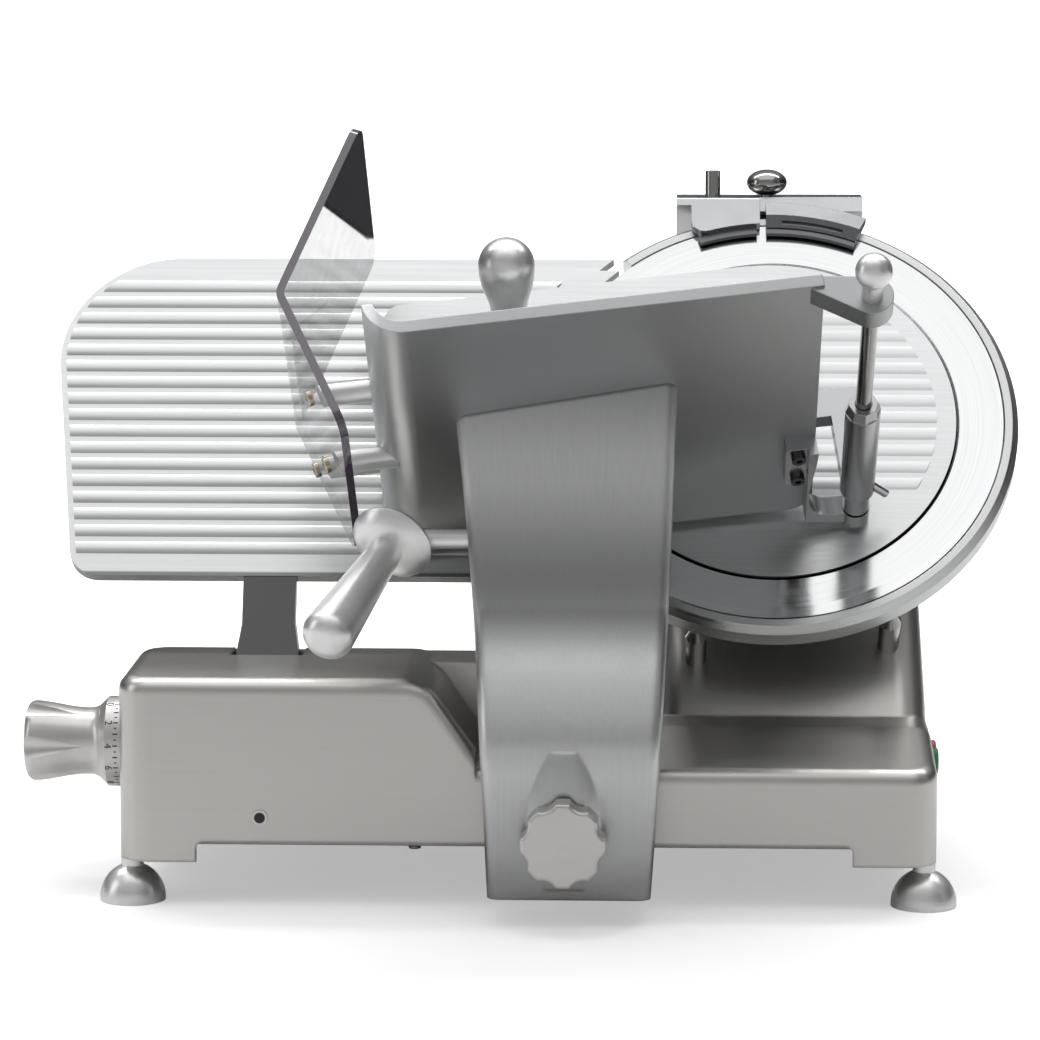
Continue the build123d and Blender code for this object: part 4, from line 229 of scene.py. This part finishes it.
def brushed(
    name, tone, roughness, stretch, across,
    streak=0.06, edge=0.0008, pull=0.4, deep=0.08, bands=None,
):
    """Metal with straight grain: stretch is small along it, and light smears across it."""
    finish = Finish(name, 1.0, roughness)
    grain = finish.noise(finish.stretched(stretch), 3.0, 0.6)
    cloud = finish.even_noise(9.0, 4.0, 0.6)
    shares = ((grain, 0.62), (cloud, 0.38))
    both = finish.sums("ADD", *(finish.sums("MULTIPLY", part, share) for part, share in shares))
    light = tint(tone, 1 + 0.7 * deep)
    finish.tones(both, (0.30, tint(tone, 1 - deep)), (0.5, tone), (0.72, light))
    finish.rough(both, roughness - streak, roughness + streak)
    finish.shader.inputs["Anisotropic"].default_value = pull
    smear = finish.node("ShaderNodeCombineXYZ")
    for axis, value in zip("XYZ", across):
        smear.inputs[axis].default_value = value
    finish.wire(smear.outputs[0], finish.shader.inputs["Tangent"])
    finish.relief(grain, deep, 0.0002, edge)
    # Painted reflections as bands of lighter and darker tone, when they are given
    if bands:
        finish.bands(*bands)
    return finish.material


def ribbed(name, tone, roughness, soften, painted_shade_below=-1.0):
    """Plate across the blade's axis: worn ridges, edges darkened by a painted dark reflection, and
    painted shade on the casting below a height.
    """
    finish = Finish(name, 1.0, roughness)
    grain = finish.noise(finish.stretched((9.0, 420.0, 420.0)), 4.0, 0.65)
    shape = finish.node("ShaderNodeNewGeometry").outputs["Normal"]
    level = finish.node("ShaderNodeVectorMath", operation="DOT_PRODUCT")
    finish.wire(shape, level.inputs[0])
    level.inputs[1].default_value = BLADE_AXIS
    # Painted dark reflection: faces that turn away from the blade's axis, the plate's edges, take
    # the dark tone
    front = finish.between(level.outputs["Value"], 0.0, 1.0, 0.35, 0.60)
    # Painted shade: below the given height, on the casting under the plate, the dark tone is taken
    # too
    height = finish.axes(finish.place)[2]
    high = finish.between(height, 0.0, 1.0, painted_shade_below - 0.0005, painted_shade_below + 0.0005)
    light = finish.sums("MULTIPLY", front, high)
    streak = finish.sums("MULTIPLY", finish.between(grain, 0.84, 1.0), light)
    finish.tones(streak, (0.0, tint(tone, 0.34)), (0.80, tint(tone, 0.90)), (1.0, tint(tone, 1.08)))
    finish.rough(grain, roughness - 0.04, roughness + 0.05)
    finish.shader.inputs["Anisotropic"].default_value = 0.25
    lean = finish.vectors("SCALE", BLADE_AXIS)
    lean.node.inputs["Scale"].default_value = soften
    finish.relief(grain, 0.05, 0.0002)
    bump = finish.shader.inputs["Normal"].links[0].from_node
    worn = finish.vectors("NORMALIZE", finish.vectors("ADD", shape, lean))
    # The mix node keeps its vector sockets at 4 and 5, and the mixed vector at 1
    choose = finish.node("ShaderNodeMix", data_type="VECTOR")
    finish.wire(light, choose.inputs["Factor"])
    finish.wire(shape, choose.inputs[4])
    finish.wire(worn, choose.inputs[5])
    finish.wire(choose.outputs[1], bump.inputs["Normal"])
    return finish.material


def turned(name, tone, roughness, rings, streak=0.06, edge=0.0, pull=0.7):
    """Metal with rings of grain about the blade's axis."""
    finish = Finish(name, 1.0, roughness)
    x, y, z = finish.axes(finish.on_blade())
    radius = finish.length(x, y)
    angle = finish.sums("ARCTAN2", y, x)
    line = finish.node("ShaderNodeCombineXYZ")
    finish.wire(finish.sums("MULTIPLY", radius, rings), line.inputs["X"])
    finish.wire(finish.sums("MULTIPLY", angle, 1.3), line.inputs["Y"])
    finish.wire(finish.sums("MULTIPLY", z, rings * 0.5), line.inputs["Z"])
    grain = finish.noise(line.outputs[0], 3.0, 0.6)
    finish.tones(grain, (0.30, tint(tone, 0.93)), (0.5, tone), (0.72, tint(tone, 1.05)))
    finish.rough(grain, roughness - streak, roughness + streak)
    finish.shader.inputs["Anisotropic"].default_value = pull
    spoke = finish.vectors("SUBTRACT", finish.place, BLADE_CENTRE)
    around = finish.vectors("CROSS_PRODUCT", spoke, BLADE_AXIS)
    outward = finish.vectors("NORMALIZE", finish.vectors("CROSS_PRODUCT", around, BLADE_AXIS))
    finish.wire(outward, finish.shader.inputs["Tangent"])
    finish.relief(grain, 0.07, 0.0002, edge)
    return finish.material


def polished(name, tone, roughness, smear, edge=0.0005, metal=1.0):
    """Bright metal with a faint cloudy smear from handling."""
    finish = Finish(name, metal, roughness)
    cloud = finish.even_noise(28.0, 4.0, 0.6)
    fine = finish.even_noise(900.0, 2.0)
    finish.tones(cloud, (0.30, tint(tone, 0.92)), (0.5, tone), (0.72, tint(tone, 1.05)))
    finish.rough(cloud, roughness - smear, roughness + smear)
    finish.relief(fine, 0.04, 0.0001, edge)
    return finish.material


def moulded(name, tone, roughness, grain, coat=0.0):
    """Plastic or rubber with a fine moulded grain."""
    finish = Finish(name, 0.0, roughness)
    pores = finish.even_noise(grain)
    cloud = finish.even_noise(15.0)
    finish.tones(cloud, (0.3, tint(tone, 0.85)), (0.7, tint(tone, 1.15)))
    finish.rough(pores, roughness - 0.08, roughness + 0.08)
    finish.shader.inputs["Coat Weight"].default_value = coat
    finish.relief(pores, 0.25, 0.0002, 0.0005)
    return finish.material


def gritty(name, tone, dark):
    """Bonded abrasive: light and dark grit in a rough face."""
    finish = Finish(name, 0.0, 0.85)
    cells = finish.node("ShaderNodeTexVoronoi")
    cells.inputs["Scale"].default_value = 1500.0
    finish.wire(finish.place, cells.inputs["Vector"])
    speck = finish.sums("FRACT", finish.sums("MULTIPLY", cells.outputs["Color"], 3.7))
    finish.tones(speck, (0.0, dark), (0.45, tone), (1.0, tint(tone, 1.35)))
    finish.relief(cells.outputs["Distance"], 0.6, 0.0003)
    return finish.material


def porous_bronze():
    """Bearing bronze with small pits."""
    finish = Finish("sintered_bronze", 1.0, 0.42)
    pits = finish.node("ShaderNodeTexVoronoi")
    pits.inputs["Scale"].default_value = 900.0
    finish.wire(finish.place, pits.inputs["Vector"])
    cloud = finish.even_noise(40.0)
    finish.tones(cloud, (0.3, (0.42, 0.28, 0.13)), (0.7, (0.66, 0.47, 0.25)))
    finish.rough(pits.outputs["Distance"], 0.55, 0.32, 0.0, 0.6)
    finish.relief(pits.outputs["Distance"], 0.2, 0.0002)
    return finish.material


def smoked_sheet(reflection_above):
    """Clear, lightly smoked sheet with a painted dark reflection above a slant, and violet edges
    told apart by where a face points.
    """
    finish = Finish("smoked_sheet", 0.0, 0.02)
    sides = finish.node("ShaderNodeNewGeometry")
    sideways = finish.sums("ABSOLUTE", finish.axes(sides.outputs["Normal"])[0])
    face = finish.between(sideways, 0.0, 1.0, 0.60, 0.72)
    clear = finish.sums("MAXIMUM", face, sides.outputs["Backfacing"])
    scuff = finish.even_noise(60.0, 4.0)
    finish.tones(clear, (0.0, (0.062, 0.048, 0.076)), (1.0, (0.020, 0.018, 0.027)))
    smear = finish.noise(finish.stretched((30.0, 90.0, 90.0)))
    film = finish.between(smear, 0.25, 0.31)
    # Painted dark reflection: above a slant up the sheet it turns near opaque and dark
    _, up, out = finish.axes(finish.on_blade())
    slant = finish.sums("ADD", up, finish.sums("MULTIPLY", out, DARK_REFLECTION_SLANT))
    shade = finish.between(slant, 0.0, 0.985, reflection_above - 0.001, reflection_above + 0.001)
    haze_and_reflection = finish.sums("MAXIMUM", film, shade)
    solid = finish.sums("SUBTRACT", 1.0, clear)
    finish.wire(finish.sums("MAXIMUM", solid, haze_and_reflection), finish.shader.inputs["Alpha"])
    finish.rough(scuff, 0.008, 0.03)
    finish.shader.inputs["IOR"].default_value = 2.0
    return finish.material


def bolt_steel(dark_from):
    """Warm steel bolts, black where the object lies right of the given place."""
    finish = Finish("bolt_steel", 1.0, 0.28)
    along = finish.axes(finish.place)[0]
    side = finish.between(along, 0.0, 1.0, dark_from - 0.001, dark_from + 0.001)
    worn = finish.even_noise(400.0)
    finish.tones(side, (0.0, (0.60, 0.52, 0.42)), (1.0, (0.09, 0.09, 0.095)))
    finish.rough(worn, 0.22, 0.40)
    finish.relief(worn, 0.08, 0.0002, 0.0004)
    return finish.material


def ringed_plug(middle, dark_r):
    """Black plug in a bright rim, told apart by the distance from its middle."""
    finish = Finish("ringed_plug", 0.0, 0.4)
    aside, _, above = finish.axes(finish.vectors("SUBTRACT", finish.place, middle))
    radius = finish.length(aside, above)
    rim = finish.between(radius, 0.0, 1.0, dark_r - 0.0001, dark_r + 0.0001)
    pores = finish.even_noise(800.0)
    finish.tones(rim, (0.0, (0.012, 0.012, 0.013)), (1.0, (0.66, 0.65, 0.63)))
    finish.wire(rim, finish.shader.inputs["Metallic"])
    finish.rough(pores, 0.28, 0.46)
    finish.relief(pores, 0.10, 0.0001, 0.0004)
    return finish.material


# Tones of the metals, and the ways their grain runs
ALLOY = (0.60, 0.605, 0.61)
WARM_ALLOY = (0.60, 0.59, 0.57)
TABLE_ALLOY = (0.40, 0.405, 0.41)
PALE_ALLOY = (0.66, 0.665, 0.67)
STEEL = (0.74, 0.745, 0.75)
ALONG_X = (7.0, 650.0, 650.0)
ALONG_Z = (650.0, 650.0, 5.0)
UP_PLATE = (0, 0.6, 0.8)

# Soft bands painted on the table's lip and the arm, where the photo has reflections: axis, stops
LIP_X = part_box("product_table")[0].x
# Painted reflection on the table's lip: brightest at its edge, fading to plain tone 80 mm in
LIP_REFLECTION_STOPS = ((LIP_X, 2.1), (LIP_X + 0.011, 1.9), (LIP_X + 0.017, 1.25), (LIP_X + 0.08, 1.0))
LIP_PAINTED_REFLECTIONS = (0, LIP_REFLECTION_STOPS)
# Painted reflections on the arm: darker and lighter bands up its height
ARM_REFLECTION_STOPS = ((0.02, 0.6), (0.09, 1.0), (0.155, 1.35), (0.205, 0.55), (0.275, 1.0), (0.33, 0.6))
ARM_PAINTED_REFLECTIONS = (2, ARM_REFLECTION_STOPS)

# Where a finish changes: painted shade under the bright plate, round the plug's middle, and a
# painted dark reflection up the clear sheet
PLATE_H = 0.1905
PLUG_DARK_R = 0.0034
DARK_REFLECTION_FROM = 0.1228
DARK_REFLECTION_SLANT = 0.46

casting = brushed("satin_casting", WARM_ALLOY, 0.32, ALONG_X, (0, 0, 1), 0.03, 0.003, 0.25, 0.035)
arm_brushing = brushed(
    "arm_brushing", ALLOY, 0.33, ALONG_Z, (1, 0, 0), 0.05, 0.003, 0.40, 0.06, ARM_PAINTED_REFLECTIONS
)
table_satin = brushed(
    "table_satin", TABLE_ALLOY, 0.36, ALONG_X, UP_PLATE, 0.03, 0.001, 0.25, 0.025, LIP_PAINTED_REFLECTIONS
)
# Painted dark reflections on the plates' edges, and for the gauge plate painted shade below its
# bright part
anodised = ribbed("anodised_face", PALE_ALLOY, 0.34, 1.0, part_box("gauge_plate")[1].z - PLATE_H)
cover_face = ribbed("blade_cover_face", PALE_ALLOY, 0.32, 1.4)
ground_steel = turned("ground_blade_steel", STEEL, 0.13, 1400.0, streak=0.03, pull=0.5)
turned_guard = turned("turned_guard", ALLOY, 0.32, 900.0, edge=0.0008, pull=0.5)
hand_polish = polished("hand_satin_alloy", (0.86, 0.86, 0.855), 0.33, 0.05, metal=0.82)
knob_polish = polished("knob_satin_alloy", (0.66, 0.65, 0.635), 0.34, 0.05, metal=0.8)
chrome = polished("chrome", (0.36, 0.358, 0.352), 0.10, 0.03)
bright_steel = polished("bright_steel", (0.46, 0.463, 0.47), 0.22, 0.04)
sharp_polish = polished("sharpener_polish", (0.48, 0.485, 0.495), 0.25, 0.04)
sharp_hood = polished("sharpener_hood", (0.20, 0.202, 0.208), 0.25, 0.04)
dark_steel = polished("dark_steel", (0.17, 0.17, 0.175), 0.32, 0.06)
machined = brushed("machined_alloy", (0.52, 0.53, 0.54), 0.42, ALONG_X, (0, 0, 1), 0.08)
bronze = porous_bronze()
motor_enamel = moulded("motor_enamel", (0.055, 0.06, 0.07), 0.42, 700.0)
black_plastic = moulded("black_plastic", (0.02, 0.02, 0.022), 0.48, 900.0)
belt_rubber = moulded("belt_rubber", (0.014, 0.014, 0.014), 0.70, 500.0)
grinding_grit = gritty("grinding_grit", (0.36, 0.29, 0.26), (0.10, 0.08, 0.07))
honing_grit = gritty("honing_grit", (0.52, 0.50, 0.47), (0.20, 0.19, 0.18))
smoke_and_reflection = smoked_sheet(DARK_REFLECTION_FROM)
plug_low, plug_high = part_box("hole_plug")
plug_finish = ringed_plug(tuple((plug_low + plug_high) / 2), PLUG_DARK_R)
bolt_finish = bolt_steel(0.0)
start_green = moulded("start_green", (0.02, 0.23, 0.06), 0.30, 600.0, 0.4)
stop_red = moulded("stop_red", (0.42, 0.02, 0.015), 0.30, 600.0, 0.4)
print_ink = moulded("print_ink", (0.012, 0.012, 0.012), 0.55, 1200.0)

FINISHES = {
    casting: ["base_housing"],
    arm_brushing: ["carriage_arm"],
    table_satin: ["product_table"],
    anodised: ["gauge_plate", "pusher_plate"],
    cover_face: ["blade_cover"],
    ground_steel: ["blade"],
    turned_guard: ["ring_guard"],
    hand_polish: [
        "feet", "handle_stem", "handle_grip", "pusher_handle", "guard_spacers", "rod_nut",
    ],
    chrome: [
        "guard_posts", "pusher_rod", "sharpener_button", "sharpener_knob", "arm_hinge_pin",
        "carriage_rod", "gauge_rod", "spindle", "spindle_bearings", "cover_tie_rod",
        "bottom_cover_screws",
    ],
    machined: [
        "bottom_cover", "spindle_pulley", "bearing_housing", "motor_pulley", "motor_bracket",
        "gauge_slider", "dial_cam", "carriage_rod_brackets", "guide_rail", "carriage_slider",
        "sharpener_arm",
    ],
    bronze: ["dial_bush", "slider_bushes", "pusher_bush"],
    motor_enamel: ["motor_body"],
    black_plastic: ["cable_gland", "switch_panel", "tie_rod_knob", "slider_roller"],
    knob_polish: ["dial_ring", "thickness_knob", "lock_knob"],
    bright_steel: ["rod_bracket", "pusher_sleeve"],
    sharp_polish: ["sharpener_housing"],
    sharp_hood: ["sharpener_cover"],
    dark_steel: ["sharpener_lips"],
    plug_finish: ["hole_plug"],
    bolt_finish: ["carriage_bolts"],
    belt_rubber: ["drive_belt"],
    grinding_grit: ["grinding_stone"],
    honing_grit: ["deburring_stone"],
    smoke_and_reflection: ["side_guard"],
    start_green: ["start_button"],
    stop_red: ["stop_button"],
}

for finish, members in FINISHES.items():
    for member in members:
        nodes[member].data.materials.clear()
        nodes[member].data.materials.append(finish)


# Pieces that the solids do not carry
def keep(mesh, name, finish, body):
    """Finished mesh as a piece that rides on a body."""
    piece = bpy.data.objects.new(name, mesh)
    bpy.context.scene.collection.objects.link(piece)
    mesh.materials.clear()
    mesh.materials.append(finish)
    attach(piece, body)
    return piece


def letter_mesh(words, size, thick):
    """Flat text as a mesh, centred on its own origin."""
    curve = bpy.data.curves.new("mark", "FONT")
    curve.body = words
    curve.size = size
    curve.extrude = thick
    curve.align_x = "CENTER"
    curve.align_y = "CENTER"
    carrier = bpy.data.objects.new("mark", curve)
    bpy.context.scene.collection.objects.link(carrier)
    bpy.context.view_layer.update()
    graph = bpy.context.evaluated_depsgraph_get()
    mesh = bpy.data.meshes.new_from_object(carrier.evaluated_get(graph))
    bpy.data.objects.remove(carrier)
    return mesh


def dial_marks():
    """Numbers and ticks printed round the thickness dial."""
    low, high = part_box("dial_ring")
    axis_y, axis_z = (low.y + high.y) / 2, (low.z + high.z) / 2
    radius = (high.z - low.z) / 2
    marks = bmesh.new()
    for number in range(0, DIAL_LAST + 1, 2):
        ahead = math.radians(DIAL_ZERO - DIAL_UNIT * number)
        before = set(marks.verts)
        marks.from_mesh(letter_mesh(str(number), DIGIT_SIZE, 2 * INK_RISE))
        for point in set(marks.verts) - before:
            angle = ahead - point.co.x / radius
            reach = radius + INK_RISE + point.co.z
            point.co = Vector((
                low.x + DIGIT_X + point.co.y,
                axis_y - reach * math.cos(angle),
                axis_z + reach * math.sin(angle),
            ))
    for step in range(2 * DIAL_LAST + 3):
        angle = math.radians(DIAL_ZERO - DIAL_UNIT / 2 * step)
        long = TICK_LONG if step % 2 == 0 else TICK_SHORT
        tick = bmesh.ops.create_cube(marks, size=1.0)["verts"]
        bmesh.ops.scale(marks, vec=(long, TICK_W, TICK_T), verts=tick)
        place = (
            Matrix.Translation((low.x + TICK_X, axis_y, axis_z))
            @ Matrix.Rotation(math.pi / 2 - angle, 4, "X")
            @ Matrix.Translation((0, 0, radius + TICK_T / 3))
        )
        bmesh.ops.transform(marks, matrix=place, verts=tick)
    mesh = bpy.data.meshes.new("dial_marks")
    marks.to_mesh(mesh)
    marks.free()
    return keep(mesh, "dial_marks", print_ink, "dial")


def button_mark(node, words, body):
    """Raised sign on the end of a push button."""
    low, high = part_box(node)
    mesh = letter_mesh(words, SIGN_SIZE, SIGN_T)
    place = (
        Matrix.Translation((high.x, (low.y + high.y) / 2, (low.z + high.z) / 2))
        @ Matrix.Rotation(math.pi / 2, 4, "Z")
        @ Matrix.Rotation(math.pi / 2, 4, "X")
    )
    mesh.transform(place)
    return keep(mesh, node + "_mark", hand_polish, body)


dial_marks()
button_mark("start_button", "I", "start")
button_mark("stop_button", "O", "stop")


# Studio
def staged(mesh, name, finish):
    """Object of the studio, which is no part of the machine."""
    piece = bpy.data.objects.new(name, mesh)
    bpy.context.scene.collection.objects.link(piece)
    mesh.materials.append(finish)
    return piece


def pale_paper():
    """White paper with a glow of its own for the camera only."""
    paper = Finish("pale_paper", 0.0, 0.9)
    mottle = paper.even_noise(3.0)
    paper.tones(mottle, (0.3, (0.90, 0.90, 0.90)), (0.7, (0.93, 0.93, 0.93)))
    seen = paper.node("ShaderNodeLightPath").outputs["Is Camera Ray"]
    paper.shader.inputs["Emission Color"].default_value = (1, 1, 1, 1)
    paper.wire(paper.sums("MULTIPLY", seen, PAPER_GLOW), paper.shader.inputs["Emission Strength"])
    return paper.material


def pale_floor(paper):
    """Flat paper that the machine stands on."""
    flat = bmesh.new()
    bmesh.ops.create_grid(flat, x_segments=8, y_segments=8, size=1.0)
    bmesh.ops.scale(flat, vec=(FLOOR_HALF, (FLOOR_HALF + BEND_Y) / 2, 1.0), verts=flat.verts)
    bmesh.ops.translate(flat, vec=(0, (BEND_Y - FLOOR_HALF) / 2, 0), verts=flat.verts)
    mesh = bpy.data.meshes.new("pale_floor")
    flat.to_mesh(mesh)
    flat.free()
    staged(mesh, "pale_floor", paper)


def pale_backdrop(paper):
    """Paper that curves up behind the machine, and isn't mirrored in its metal."""
    sweep = bmesh.new()
    ends = [sweep.verts.new((x, BEND_Y, 0.0)) for x in (-FLOOR_HALF, FLOOR_HALF)]
    line = sweep.edges.new(ends)
    bmesh.ops.spin(
        sweep,
        geom=ends + [line],
        cent=(0, BEND_Y, BEND_R),
        axis=(1, 0, 0),
        angle=math.radians(85),
        steps=24,
    )
    bmesh.ops.remove_doubles(sweep, verts=sweep.verts, dist=1e-5)
    bmesh.ops.recalc_face_normals(sweep, faces=sweep.faces)
    for face in sweep.faces:
        face.smooth = True
    mesh = bpy.data.meshes.new("pale_backdrop")
    sweep.to_mesh(mesh)
    sweep.free()
    staged(mesh, "pale_backdrop", paper).visible_glossy = False


def soft_light(name, place, target, wide, high, power):
    """Lamp of wide by high metres that faces a target."""
    lamp = bpy.data.lights.new(name, "AREA")
    lamp.shape = "RECTANGLE"
    lamp.size = wide
    lamp.size_y = high
    lamp.energy = power
    holder = bpy.data.objects.new(name, lamp)
    bpy.context.scene.collection.objects.link(holder)
    holder.location = place
    holder.rotation_euler = (Vector(target) - Vector(place)).to_track_quat("-Z", "Y").to_euler()


def studio_air():
    """Room that is dim behind and to the right, bright overhead and white to the camera."""
    world = bpy.data.worlds.new("studio_air")
    world.use_nodes = True
    bpy.context.scene.world = world
    tree = world.node_tree
    room = tree.nodes["Background"]
    where = tree.nodes.new("ShaderNodeTexCoord")
    split = tree.nodes.new("ShaderNodeSeparateXYZ")
    tree.links.new(where.outputs["Generated"], split.inputs[0])
    ahead = tree.nodes.new("ShaderNodeMapRange")
    ahead.inputs["From Min"].default_value, ahead.inputs["From Max"].default_value = FRONT_FADE
    tree.links.new(split.outputs["Y"], ahead.inputs["Value"])
    blend = tree.nodes.new("ShaderNodeMixRGB")
    tree.links.new(ahead.outputs[0], blend.inputs["Fac"])
    for stops, target in ((BACK_TONES, "Color1"), (FRONT_TONES, "Color2")):
        ramp = tree.nodes.new("ShaderNodeValToRGB")
        fill_ramp(ramp.color_ramp, [(height, grey(tone)) for height, tone in stops])
        tree.links.new(split.outputs["Z"], ramp.inputs["Fac"])
        tree.links.new(ramp.outputs["Color"], blend.inputs[target])
    beside = tree.nodes.new("ShaderNodeMapRange")
    beside.inputs["From Min"].default_value, beside.inputs["From Max"].default_value = RIGHT_FADE
    beside.inputs["To Min"].default_value = 1.0
    beside.inputs["To Max"].default_value = RIGHT_SHADE
    tree.links.new(split.outputs["X"], beside.inputs["Value"])
    tree.links.new(blend.outputs[0], room.inputs["Color"])
    tree.links.new(beside.outputs[0], room.inputs["Strength"])
    paper = tree.nodes.new("ShaderNodeBackground")
    paper.inputs["Color"].default_value = (1, 1, 1, 1)
    rays = tree.nodes.new("ShaderNodeLightPath")
    choose = tree.nodes.new("ShaderNodeMixShader")
    tree.links.new(rays.outputs["Is Camera Ray"], choose.inputs["Fac"])
    tree.links.new(room.outputs[0], choose.inputs[1])
    tree.links.new(paper.outputs[0], choose.inputs[2])
    tree.links.new(choose.outputs[0], tree.nodes["World Output"].inputs["Surface"])


def photo_camera():
    """Camera that stands where the photo was taken."""
    data = bpy.data.cameras.new("photo_camera")
    data.lens = EYE_LENS
    data.sensor_width = SENSOR_W
    camera = bpy.data.objects.new("photo_camera", data)
    bpy.context.scene.collection.objects.link(camera)
    camera.location = EYE
    camera.rotation_euler = EYE_TURN
    bpy.context.scene.camera = camera


paper = pale_paper()
pale_floor(paper)
pale_backdrop(paper)
studio_air()
soft_light("top_softbox", (0.0, -0.25, 2.3), (0, 0, 0.2), wide=2.6, high=2.0, power=12)
soft_light("left_strip", (-2.2, -0.6, 0.9), (0, 0, 0.25), wide=0.5, high=1.4, power=4.5)
soft_light("right_strip", (2.3, -0.5, 0.9), (0, 0, 0.25), wide=0.5, high=1.4, power=0.6)
soft_light("back_wash", (0.0, 0.9, 2.4), (0, 2.2, 0.6), wide=4.0, high=0.8, power=70)
photo_camera()
bpy.context.scene.view_settings.view_transform = "Standard"
